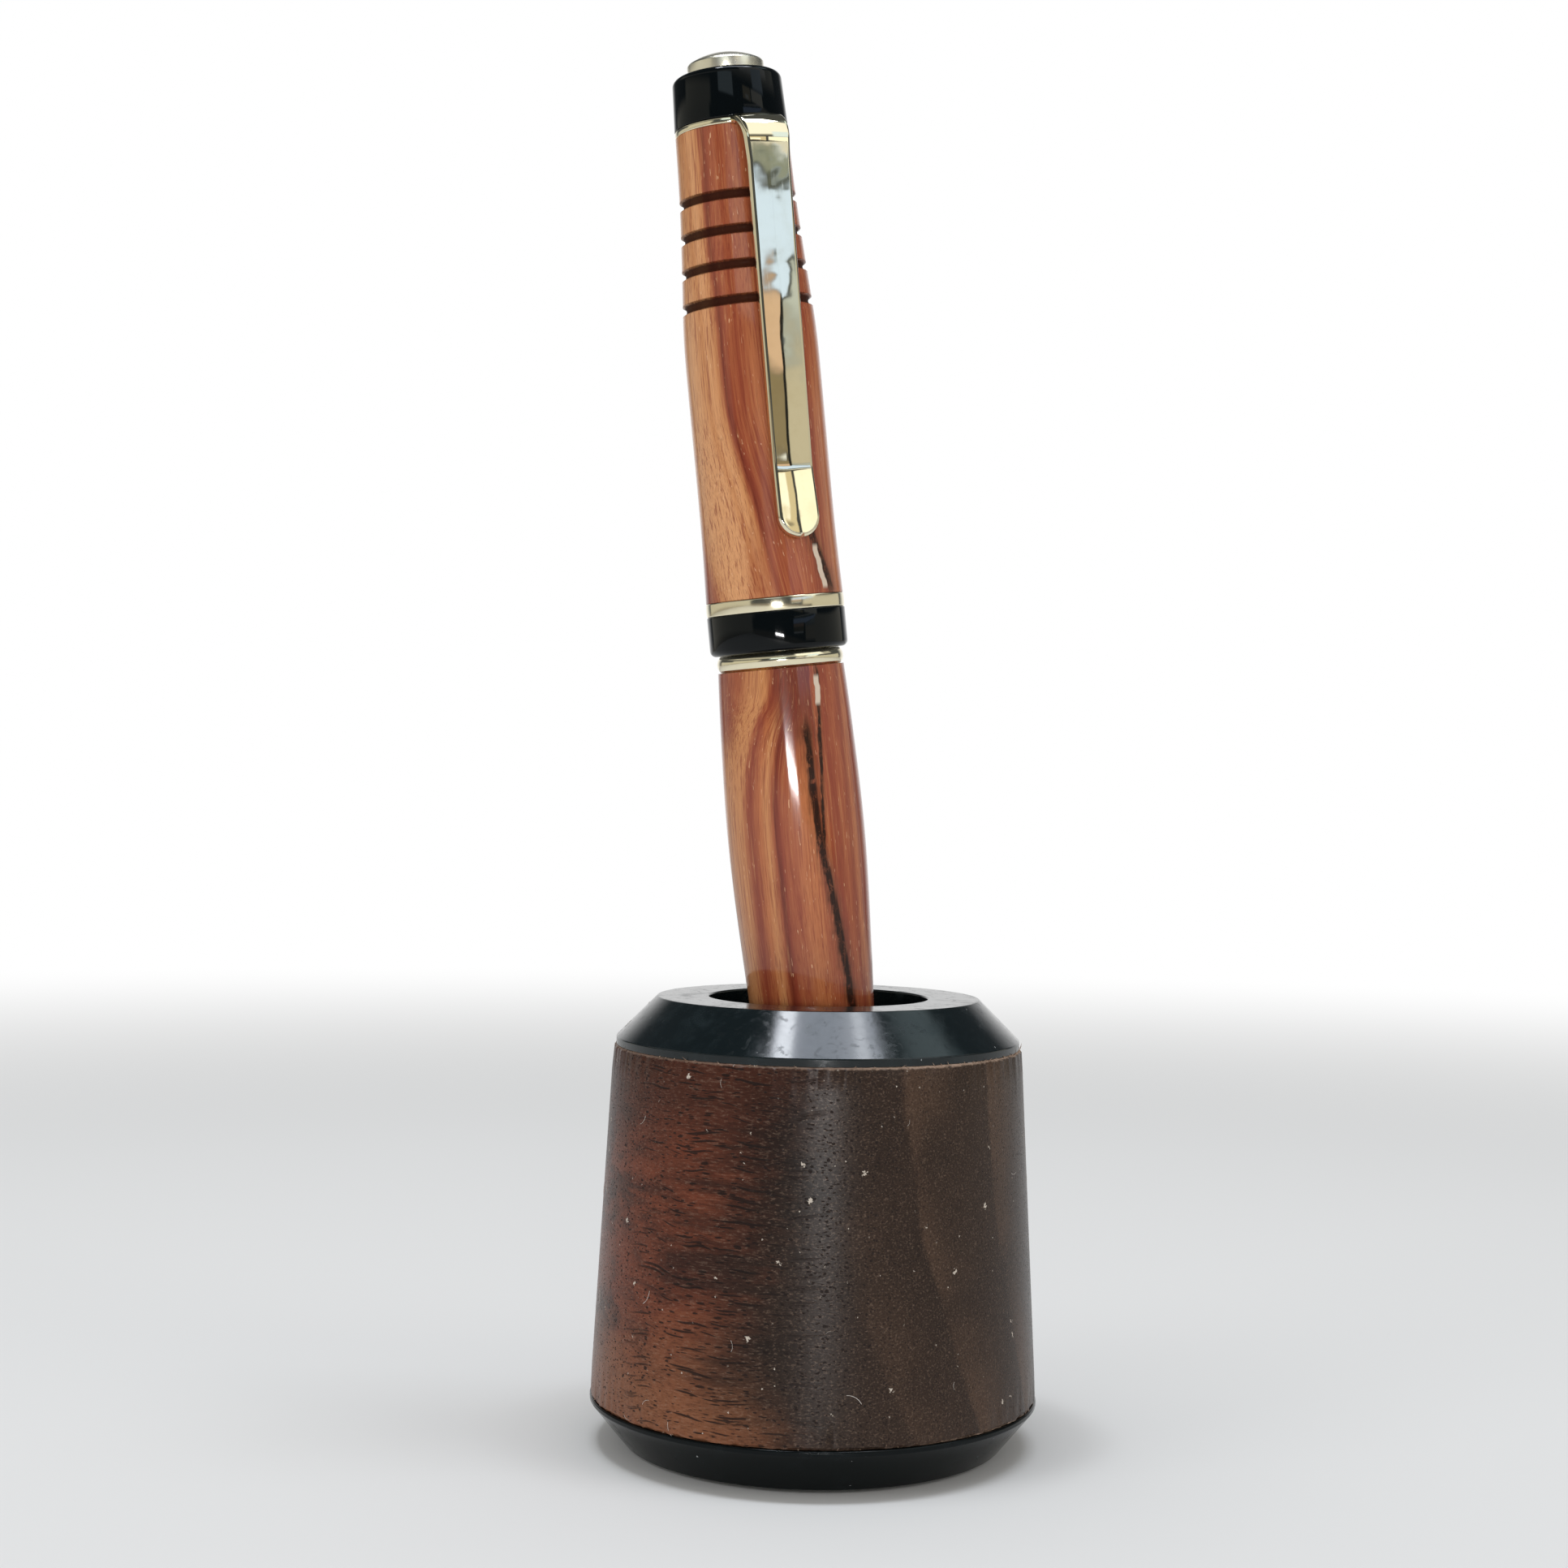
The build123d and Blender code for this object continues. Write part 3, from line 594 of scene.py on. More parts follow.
# Pieces that replace plain solids: each is put in place in its mesh, then rides on its body
def addPiece(name, mesh, body, replaced=None):
    piece = bpy.data.objects.new(name, mesh)
    scene.collection.objects.link(piece)
    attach(piece, body)
    if replaced:
        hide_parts(replaced)
    return piece


skinSetup = {"mergeGap": 1e-7, "sharpAngle": 32}


def loopMesh(name, loops, material, around, capped):  # skins closed loops of points, one after another
    count = len(loops[0])
    points = [point for loop in loops for point in loop]
    faces = []
    for row in range(len(loops) if around else len(loops) - 1):
        here, there = row * count, (row + 1) % len(loops) * count
        for corner in range(count):
            beside = (corner + 1) % count
            faces.append((here + corner, here + beside, there + beside, there + corner))
    if capped:
        faces.append(tuple(reversed(range(count))))
        faces.append(tuple(range(len(points) - count, len(points))))
    mesh = bpy.data.meshes.new(name)
    mesh.from_pydata([Vector(point) * mm for point in points], [], faces)
    build = bmesh.new()
    build.from_mesh(mesh)
    bmesh.ops.remove_doubles(build, verts=build.verts, dist=skinSetup["mergeGap"])
    bmesh.ops.recalc_face_normals(build, faces=build.faces)
    build.to_mesh(mesh)
    build.free()
    mesh.polygons.foreach_set("use_smooth", [True] * len(mesh.polygons))
    mesh.set_sharp_from_angle(angle=math.radians(skinSetup["sharpAngle"]))
    mesh.materials.append(material)
    return mesh


# The walnut block, turned in the round with torn upper and lower edges
blockShape = {
    "foot": 5.4, "top": 44.2, "footRadius": 24.85, "topRadius": 22.8, "collarSeat": (15.03, 41.08),
    "well": 8.302, "ballastSeat": (18.93, 13.72), "rows": 14, "segments": 480, "edge": 0.35, "tear": 0.28,
}


def walnutBlock(shape, material):
    foot, top = shape["foot"], shape["top"]
    wide, narrow, edge = shape["footRadius"], shape["topRadius"], shape["edge"]
    seat, ballast, well = shape["collarSeat"], shape["ballastSeat"], shape["well"]
    # Outline of (radius, height, how far it may be torn): from the foot's bore, up the outside, down the well
    outline = [(ballast[0], foot, 0), ((ballast[0] + wide) / 2, foot, 0), (wide - 3 * edge, foot, 0)]
    outline += [(wide - edge, foot, 0.7), (wide - 0.3 * edge, foot + 0.3 * edge, 1), (wide, foot + edge, 0.6)]
    for row in range(1, shape["rows"]):
        share = row / shape["rows"]
        outline.append((wide + (narrow - wide) * share, foot + (top - foot) * share, 0))
    outline += [(narrow, top - edge, 0.6), (narrow - 0.3 * edge, top - 0.3 * edge, 1)]
    outline += [(narrow - edge, top, 0.7), (narrow - 3 * edge, top, 0)]
    outline += [((narrow + seat[0]) / 2, top, 0), (seat[0], top, 0)]
    outline += [seat, (well, seat[1]), (well, (seat[1] + ballast[1]) / 2), (well, ballast[1]), ballast]
    loops = []
    for number in range(shape["segments"]):
        angle = math.tau * number / shape["segments"]
        turn = Vector((math.cos(angle), math.sin(angle), 0))
        loop = []
        for radius, height, *loose in outline:
            tear = 0
            if loose and loose[0]:
                place = turn * 24 + Vector((0, 0, height * 3))
                fine = 0.5 + noise.fractal(place * 1.1, 1.0, 2.0, 3)
                broad = 0.5 + 0.5 * noise.noise(place * 0.12)
                tear = shape["tear"] * loose[0] * min(max(fine * (0.4 + broad), 0), 1)
            loop.append(turn * (radius - tear) + Vector((0, 0, height)))
        loops.append(loop)
    return loopMesh("walnutBlock", loops, material, True, False)


walnutMesh = walnutBlock(blockShape, finishes["walnutFinish"])
addPiece("walnutBlock", walnutMesh, "holder", "walnut_body")

# The clip: a stamped strip with eased edges and a face that is a little crowned and uneven
clipShape = {
    "path": [(6.32, 125.04), (9.42, 125.04), (8.05, 87.43), (8.6, 79.83)], "rounds": [2.8, 12.0],
    "halfWidths": [(125.04, 2.75), (119.93, 2.4), (87.43, 2.3), (82.23, 2.4)], "endRadius": 2.4,
    "turn": -65.5, "thickness": 1.0, "rim": 0.42, "rimSteps": 5, "crown": 0.17, "waves": 0.05,
    "ripples": 0.0035, "step": 0.45, "endSteps": 16, "columns": 14,
}


def roundedPath(points, rounds, step):  # points and headings along straight runs joined by arcs
    points = [Vector(point) for point in points]
    stops = [(points[0], (points[1] - points[0]).normalized())]
    for before, corner, after, radius in zip(points, points[1:], points[2:], rounds):
        ahead, beyond = (corner - before).normalized(), (after - corner).normalized()
        bend = ahead.angle_signed(beyond)
        cut = radius * math.tan(abs(bend) / 2)
        stops += spacedRun(stops[-1][0], corner - ahead * cut, step)
        centre = corner - ahead * cut + Vector((ahead.y, -ahead.x)) * math.copysign(radius, bend)
        spoke = corner - ahead * cut - centre
        pieces = max(6, round(abs(bend) * radius / step))
        for number in range(1, pieces + 1):
            swing = Matrix.Rotation(-bend * number / pieces, 2)
            stops.append((centre + swing @ spoke, swing @ ahead))
    return stops + spacedRun(stops[-1][0], points[-1], step)


def spacedRun(start, end, step):
    count = max(1, round((end - start).length / step))
    return [(start.lerp(end, number / count), (end - start).normalized()) for number in range(1, count + 1)]


def clipHalfWidth(shape, height):
    stations = shape["halfWidths"]
    for (high, wide), (low, narrow) in zip(stations, stations[1:]):
        if height >= low:
            share = min(max((high - height) / (high - low), 0), 1)
            return wide + (narrow - wide) * share
    return stations[-1][1]


def clipStrip(shape, material):
    turn = math.radians(shape["turn"])
    outward = penRight * math.cos(turn) + penBack * math.sin(turn)
    across = penUp.cross(outward)
    stops = roundedPath(shape["path"], shape["rounds"], shape["step"])
    half, rim, crown, endRadius = shape["thickness"] / 2, shape["rim"], shape["crown"], shape["endRadius"]
    ease = rim * 0.3
    tip, endHeading = stops[-1]
    # Stations of (edge place, edge half width, face place, face half width, heading), then round the end
    stations = []
    for place, heading in stops:
        if (tip - place).length >= endRadius:
            wide = clipHalfWidth(shape, place.y)
            stations.append((place, wide, place, wide - rim, heading))
    middle = tip - endHeading * endRadius
    for number in range(1, shape["endSteps"]):
        swing = math.pi / 2 * (1 - number / shape["endSteps"])
        edge = middle + endHeading * endRadius * math.cos(swing)
        face = middle + endHeading * (endRadius - rim) * math.cos(swing)
        faceHalf = (endRadius - rim) * math.sin(swing)
        stations.append((edge, endRadius * math.sin(swing), face, faceHalf, endHeading))
    loops = []
    for edgePlace, wide, facePlace, faceWide, heading in stations:
        out = Vector((-heading.y, heading.x))  # away from the barrel
        soft = min(ease, wide * 0.5)
        faceLevel = half - crown * (faceWide / endRadius) ** 2
        rimRun = []  # the rim's quarter round, from the side up to the face
        for number in range(shape["rimSteps"]):
            swing = math.pi / 2 * number / shape["rimSteps"]
            share = 1 - math.cos(swing)
            rimRun.append((edgePlace.lerp(facePlace, share), wide + (faceWide - wide) * share,
                           faceLevel - rim * 0.8 * (1 - math.sin(swing))))
        outline = [(edgePlace, soft - wide, -half), (edgePlace, wide - soft, -half)]
        outline += [(edgePlace, wide, soft - half)] + rimRun
        for number in range(shape["columns"] + 1):
            sideways = faceWide * (1 - 2 * number / shape["columns"])
            drop = crown * (sideways / endRadius) ** 2
            wave = noise.noise(Vector((sideways * 0.4, facePlace.x * 0.25, facePlace.y * 0.2)))
            fine = noise.noise(Vector((sideways * 0.9, facePlace.x, facePlace.y * 1.1)))
            dent = shape["waves"] * (0.5 + 0.5 * wave) + shape["ripples"] * fine
            dent *= 1 - (sideways / endRadius) ** 2
            outline.append((facePlace, sideways, half - drop - dent))
        outline += [(place, -sideways, level) for place, sideways, level in reversed(rimRun)]
        outline.append((edgePlace, -wide, soft - half))
        loop = []
        for place, sideways, level in outline:
            flat = place + out * level
            loop.append(penTip / mm + outward * flat.x + penUp * flat.y + across * sideways)
        loops.append(loop)
    return loopMesh("clipStrip", loops, material, False, True)


addPiece("clipStrip", clipStrip(clipShape, finishes["goldFinish"]), "clip", "clip_arm")


# Turned pieces of the pen: an outline of (radius, height from the pen's point) is run round the pen's axis
def turnedMesh(name, outline, material, segments=192):
    loops = []
    for number in range(segments):
        swing = math.tau * number / segments
        turn = penRight * math.cos(swing) + penBack * math.sin(swing)
        loops.append([penTip / mm + turn * radius + penUp * height for radius, height in outline])
    return loopMesh(name, loops, material, True, False)


def arcRun(centre, radius, start, end, count=8):  # a round stretch, in degrees from straight outwards
    run = []
    for number in range(count + 1):
        swing = math.radians(start + (end - start) * number / count)
        run.append((centre[0] + radius * math.cos(swing), centre[1] + radius * math.sin(swing)))
    return run


def smoothThrough(stations):  # the natural cubic through a few stations
    places, values = np.array(stations).T
    gaps = np.diff(places)
    slopes = np.diff(values) / gaps
    system, right = np.eye(len(places)), np.zeros(len(places))
    for row in range(1, len(gaps)):
        system[row, row - 1:row + 2] = gaps[row - 1], 2 * (gaps[row - 1] + gaps[row]), gaps[row]
        right[row] = 6 * (slopes[row] - slopes[row - 1])
    bends = np.linalg.solve(system, right)

    def value(place):
        row = min(max(int(np.searchsorted(places, place)) - 1, 0), len(gaps) - 1)
        after = (place - places[row]) / gaps[row]
        before = 1 - after
        curl = (before ** 3 - before) * bends[row] + (after ** 3 - after) * bends[row + 1]
        return float(before * values[row] + after * values[row + 1] + curl * gaps[row] ** 2 / 6)
    return value


# The two barrels: their swelling as shares of the band's radius, and round grooves cut into the upper one
lowerShape = {
    "span": (14, 66), "radius": 7.67, "bore": 4.98, "step": 0.8, "grooves": [], "grooveDepth": 0.45,
    "grooveSteps": 14,
    "swell": [(0, 0.802), (0.15, 0.86), (0.3, 0.914), (0.45, 0.962), (0.55, 0.988), (0.64, 0.998),
              (0.73, 0.991), (0.83, 0.969), (0.93, 0.94), (1, 0.913)],
}
upperShape = dict(lowerShape, span=(73.79, 124.65), grooves=grooves, swell=[
    (0, 0.993), (0.1, 0.974), (0.28, 0.965), (0.48, 0.966), (0.575, 0.956), (0.66, 0.92), (0.76, 0.874),
    (0.861, 0.836), (1, 0.808)])


def barrelOutline(shape):
    low, high = shape["span"]
    swell, depth, steps = smoothThrough(shape["swell"]), shape["grooveDepth"], shape["grooveSteps"]
    rows = round((high - low) / shape["step"])
    heights = {low + (high - low) * number / rows for number in range(rows + 1)}
    for place, halfWidth in shape["grooves"]:
        heights = {height for height in heights if abs(height - place) > halfWidth * 1.1}
        heights |= {place + halfWidth * (2 * number / steps - 1) for number in range(steps + 1)}
    outline = [(shape["bore"], low)]
    for height in sorted(heights):
        radius = shape["radius"] * swell((height - low) / (high - low))
        for place, halfWidth in shape["grooves"]:
            off = min(abs(height - place), halfWidth)
            cutter = (halfWidth ** 2 + depth ** 2) / (2 * depth)
            radius -= math.sqrt(cutter ** 2 - off ** 2) - cutter + depth
        outline.append((radius, height))
    return outline + [(shape["bore"], high)]


# Rings, caps and nib, each from its own sizes
bandShape = {"inner": 5.63, "outer": 7.67, "span": (67.85, 72.23), "lowRound": 0.7, "ease": 0.12}
finialShape = {"inner": 2.93, "outer": 6.225, "draft": 0.25, "span": (125.43, 131.0), "topRound": 0.8,
               "ease": 0.1}
buttonShape = {"stud": (2.9, 118.83), "radius": 4.2, "span": (131.0, 132.4), "crown": 1.15, "ease": 0.12}
couplerShape = {"spigot": (3.88, 4.47, 59.0), "outer": 7.025, "span": (66.0, 67.83), "round": 0.42}
nibShape = {"bores": [(1.35, 5.5), (2.75, 10.0), (3.3, 20.0)], "tip": 1.6, "neck": 5.5, "cone": 12.0,
            "beadLow": 12.3, "bead": 0.65, "end": 14.0, "spigot": 4.47}
trimShape = {"edge": 0.2, "belly": 0.015}
clipRingShape = {"edge": 0.2, "belly": 0.02}


def bandOutline(shape):
    (low, high), outer, curve, ease = shape["span"], shape["outer"], shape["lowRound"], shape["ease"]
    outline = [(shape["inner"], low)] + arcRun((outer - curve, low + curve), curve, -90, 0)
    return outline + arcRun((outer - ease, high - ease), ease, 0, 90, 4) + [(shape["inner"], high)]


def finialOutline(shape):
    (low, high), outer, curve, ease = shape["span"], shape["outer"], shape["topRound"], shape["ease"]
    lean = math.degrees(math.atan2(shape["draft"], high - low))
    outline = [(shape["inner"], low)] + arcRun((outer - ease, low + ease), ease, -90, 0, 4)
    side = outer - shape["draft"] * (high - low - curve) / (high - low)
    return outline + arcRun((side - curve, high - curve), curve, lean, 90) + [(shape["inner"], high)]


def buttonOutline(shape):
    (low, high), radius, crown, ease = shape["span"], shape["radius"], shape["crown"], shape["ease"]
    stud, studLow = shape["stud"]
    sphere = (radius ** 2 + crown ** 2) / (2 * crown)
    outline = [(0, studLow), (stud, studLow), (stud, low)]
    outline += arcRun((radius - ease, low + ease), ease, -90, 0, 4)
    start = math.degrees(math.asin(1 - crown / sphere))
    return outline + [(radius, high - ease)] + arcRun((0, high + crown - sphere), sphere, start + 1, 90, 12)


def bulge(low, high, edge, rise):  # a half-round bead between two heights
    half = (high - low) / 2
    curve = (half ** 2 + rise ** 2) / (2 * rise)
    reach = math.degrees(math.asin(half / curve))
    return arcRun((edge + rise - curve, low + half), curve, -reach, reach, 14)


def couplerOutline(shape):
    bore, spigot, spigotLow = shape["spigot"]
    low, high = shape["span"]
    bead = bulge(low, high, shape["outer"] - shape["round"], shape["round"])
    return [(bore, spigotLow), (spigot, spigotLow), (spigot, low)] + bead + [(bore, high)]


def nibOutline(shape):
    outline = [(shape["tip"], 0), (shape["neck"], shape["cone"])]
    outline += bulge(shape["beadLow"], shape["end"], shape["neck"], shape["bead"])
    outline += [(shape["spigot"], shape["end"]), (shape["spigot"], shape["bores"][-1][1])]
    start, steps = 0, []
    for bore, end in shape["bores"]:
        steps += [(bore, start), (bore, end)]
        start = end
    return outline + steps[::-1]


def easedRingOutline(shape):
    (low, high), outer, edge = shape["span"], shape["outer"], shape["edge"]
    side = outer - shape["belly"]
    outline = [(shape["inner"], low)] + arcRun((side - edge, low + edge), edge, -90, 0, 6)
    outline += [(outer, (low + high) / 2)] + arcRun((side - edge, high - edge), edge, 0, 90, 6)
    return outline + [(shape["inner"], high)]


# The two flat rings take their sizes from the solids that they replace
for node, shape in (("trim_ring", trimShape), ("clip_ring", clipRingShape)):
    spots = [penFrame.inverted() @ vertex.co / mm for vertex in nodes[node].data.vertices]
    radii, heights = [math.hypot(spot.x, spot.y) for spot in spots], [spot.z for spot in spots]
    shape.update(inner=min(radii), outer=max(radii), span=(min(heights), max(heights)))
turnedPieces = [
    ("lowerTurning", barrelOutline(lowerShape), "lowerWoodFinish", "pen_lower", "pen_wood", "lower_barrel"),
    ("upperTurning", barrelOutline(upperShape), "upperWoodFinish", "pen_upper", "pen_wood", "upper_barrel"),
    ("centreBand", bandOutline(bandShape), "glossFinish", "pen_upper", "black_band", "centre_band"),
    ("finialCap", finialOutline(finialShape), "glossFinish", "pen_upper", "black_band", "finial"),
    ("finialButton", buttonOutline(buttonShape), "buttonFinish", "pen_upper", "gold_plate", "finial_button"),
    ("trimRing", easedRingOutline(trimShape), "ringFinish", "pen_upper", "gold_plate", "trim_ring"),
    ("clipRing", easedRingOutline(clipRingShape), "ringFinish", "pen_upper", "gold_plate", "clip_ring"),
    ("couplerRing", couplerOutline(couplerShape), "ringFinish", "pen_lower", "gold_plate", "coupler_ring"),
    ("nibCone", nibOutline(nibShape), "goldFinish", "pen_lower", "gold_plate", "nib"),
]
for name, outline, finish, body, slot, node in turnedPieces:
    addPiece(name, turnedMesh(name, outline, finishes[finish]), body, node)
print("turned block, clip and pen pieces made")


# Geometry Nodes: a shaper is a node tree with named sizes, run once and kept as a plain mesh
def newShaper(name, sizes):
    group = bpy.data.node_groups.new(name, "GeometryNodeTree")
    tree = Tree(group)
    group.interface.new_socket("Geometry", in_out="OUTPUT", socket_type="NodeSocketGeometry")
    group.interface.new_socket("Geometry", in_out="INPUT", socket_type="NodeSocketGeometry")
    for label, value in sizes.items():
        kind = "NodeSocketInt" if isinstance(value, int) else "NodeSocketFloat"
        group.interface.new_socket(label, in_out="INPUT", socket_type=kind)
    inlet = group.nodes.new("NodeGroupInput")
    return tree, {socket.name: Wire(tree, socket) for socket in inlet.outputs if socket.name}


def wireAlong(tree, curve, radius, sides):
    section = tree.node("GeometryNodeCurvePrimitiveCircle", {}, {"Resolution": sides, "Radius": radius})
    sockets = {"Curve": curve, "Profile Curve": section, "Fill Caps": True}
    return tree.node("GeometryNodeCurveToMesh", {}, sockets)


def closeShaper(tree, shape, material):
    whole = tree.node("GeometryNodeRealizeInstances", {}, {0: shape})
    smooth = tree.node("GeometryNodeSetShadeSmooth", {}, {"Geometry": whole})
    painted = tree.node("GeometryNodeSetMaterial", {}, {"Geometry": smooth, "Material": material})
    tree.node("NodeGroupOutput", {}, {0: painted})


def runShaper(name, tree, sizes, start=None):
    holder = bpy.data.objects.new(name + "Start", start or bpy.data.meshes.new(name + "Start"))
    scene.collection.objects.link(holder)
    modifier = holder.modifiers.new("shaper", "NODES")
    modifier.node_group = tree.nodeTree
    for item in tree.nodeTree.interface.items_tree:
        if item.name in sizes:
            modifier[item.identifier] = sizes[item.name]
    mesh = bpy.data.meshes.new_from_object(holder.evaluated_get(bpy.context.evaluated_depsgraph_get()))
    mesh.name = name
    holder.modifiers.remove(modifier)
    bpy.data.objects.remove(holder)
    return mesh


# The spring inside the nib, made at its rest length; the real one is squeezed by the refill as it comes
# forward
springSizes = {"turns": 6.0, "radius": 2.15 * mm, "height": 10.0 * mm, "wire": 0.2 * mm, "steps": 40}
springPlace = {"low": 5.75, "squeezed": 0.455}


def springMesh(sizes, place, material):
    tree, inlet = newShaper("springShaper", sizes)
    coil = tree.node("GeometryNodeCurveSpiral", {}, {
        "Resolution": inlet["steps"], "Rotations": inlet["turns"], "Start Radius": inlet["radius"],
        "End Radius": inlet["radius"], "Height": inlet["height"]})
    closeShaper(tree, wireAlong(tree, coil, inlet["wire"], 10), material)
    mesh = runShaper("refillCoil", tree, sizes)
    mesh.transform(penFrame @ Matrix.Translation((0, 0, place["low"] * mm)))
    return mesh


coilMesh = springMesh(springSizes, springPlace, finishes["springFinish"])
coilPiece = addPiece("refillCoil", coilMesh, "pen_lower", "refill_spring")
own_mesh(coilPiece)

# Lint and torn fibres: short curved hairs caught on the wood and the collar, splinters along the wood's rims
lintSizes = {
    "density": 5200.0, "length": 0.7 * mm, "curl": 0.4 * mm, "thickness": 0.017 * mm, "inside": 18.0 * mm,
    "seed": 7,
}
topSplinters = {
    "count": 170, "radius": 22.6 * mm, "height": 44.1 * mm, "length": 0.55 * mm, "thickness": 0.05 * mm,
    "jitter": 0.15 * mm, "lean": 1.1, "keepFrom": -26 * mm, "keepTo": 34 * mm, "seed": 3,
}
footSplinters = dict(topSplinters, count=120, radius=24.6 * mm, height=5.5 * mm, length=0.6 * mm, seed=5)


def randomBetween(tree, low, high, seed):
    return tree.node("FunctionNodeRandomValue", {"data_type": "FLOAT"}, {2: low, 3: high, 8: seed}, 1)


def lintMesh(name, sizes, start, material):
    tree, inlet = newShaper(name, sizes)
    right, away = tree.parts(tree.node("GeometryNodeInputPosition"))[:2]
    fromAxis = (right * right + away * away) ** 0.5
    spots = tree.node("GeometryNodeDistributePointsOnFaces", {}, {
        "Mesh": inlet["Geometry"], "Density": inlet["density"], "Seed": inlet["seed"],
        "Selection": fromAxis.sum("GREATER_THAN", fromAxis, inlet["inside"])})
    facing = Wire(tree, spots.socket.node.outputs["Rotation"])
    lift = inlet["thickness"] * 0.6
    hair = tree.node("GeometryNodeCurveQuadraticBezier", {}, {
        "Resolution": 8, "Start": tree.join(inlet["length"] * -1, 0.0, lift),
        "Middle": tree.join(0.0, inlet["curl"], lift * 5), "End": tree.join(inlet["length"], 0.0, lift)})
    strand = wireAlong(tree, hair, inlet["thickness"], 5)
    spin = tree.join(0.0, 0.0, randomBetween(tree, 0.0, math.tau, inlet["seed"]))
    lie = tree.node("FunctionNodeRotateRotation", {"rotation_space": "LOCAL"}, {0: facing, 1: spin})
    grow = randomBetween(tree, 0.25, 1.3, inlet["seed"] + 1)
    hairs = tree.node("GeometryNodeInstanceOnPoints", {}, {
        "Points": spots, "Instance": strand, "Rotation": lie, "Scale": tree.join(grow, grow, 1.0)})
    closeShaper(tree, hairs, material)
    return runShaper(name, tree, sizes, start)


def splinterMesh(name, sizes, material):
    tree, inlet = newShaper(name, sizes)
    circle = tree.node("GeometryNodeMeshCircle", {}, {"Vertices": inlet["count"], "Radius": inlet["radius"]})
    seed, jitter, lean = inlet["seed"], inlet["jitter"], inlet["lean"]
    shift = [randomBetween(tree, jitter * -1, jitter, seed + number) for number in range(2)]
    offset = tree.join(*shift, inlet["height"])
    rim = tree.node("GeometryNodeSetPosition", {}, {"Geometry": circle, "Offset": offset})
    side = tree.reach(tree.node("GeometryNodeInputPosition"), (1, 0, 0))
    kept = randomBetween(tree, inlet["keepFrom"], inlet["keepTo"], seed + 2)  # most stand on the right
    spike = tree.node("GeometryNodeMeshCone", {}, {
        "Vertices": 4, "Radius Top": 0.0, "Radius Bottom": inlet["thickness"], "Depth": inlet["length"]})
    tilt = [randomBetween(tree, lean * -1, lean, seed + number) for number in (3, 4)]
    grow = randomBetween(tree, 0.3, 1.4, seed + 5)
    spikes = tree.node("GeometryNodeInstanceOnPoints", {}, {
        "Points": rim, "Selection": kept.sum("LESS_THAN", kept, side), "Instance": spike,
        "Rotation": tree.join(*tilt, 0.0), "Scale": tree.join(1.0, 1.0, grow)})
    closeShaper(tree, spikes, material)
    return runShaper(name, tree, sizes)


lintPlaces = {"woodLint": (walnutMesh, "walnut"), "collarLint": (nodes["top_collar"].data, "black_resin")}
for name, (surface, slot) in lintPlaces.items():
    addPiece(name, lintMesh(name, lintSizes, surface.copy(), finishes["lintFinish"]), "holder")
for name, sizes in (("topSplinters", topSplinters), ("footSplinters", footSplinters)):
    addPiece(name, splinterMesh(name, sizes, finishes["splinterFinish"]), "holder")
print("spring, lint and splinters made")

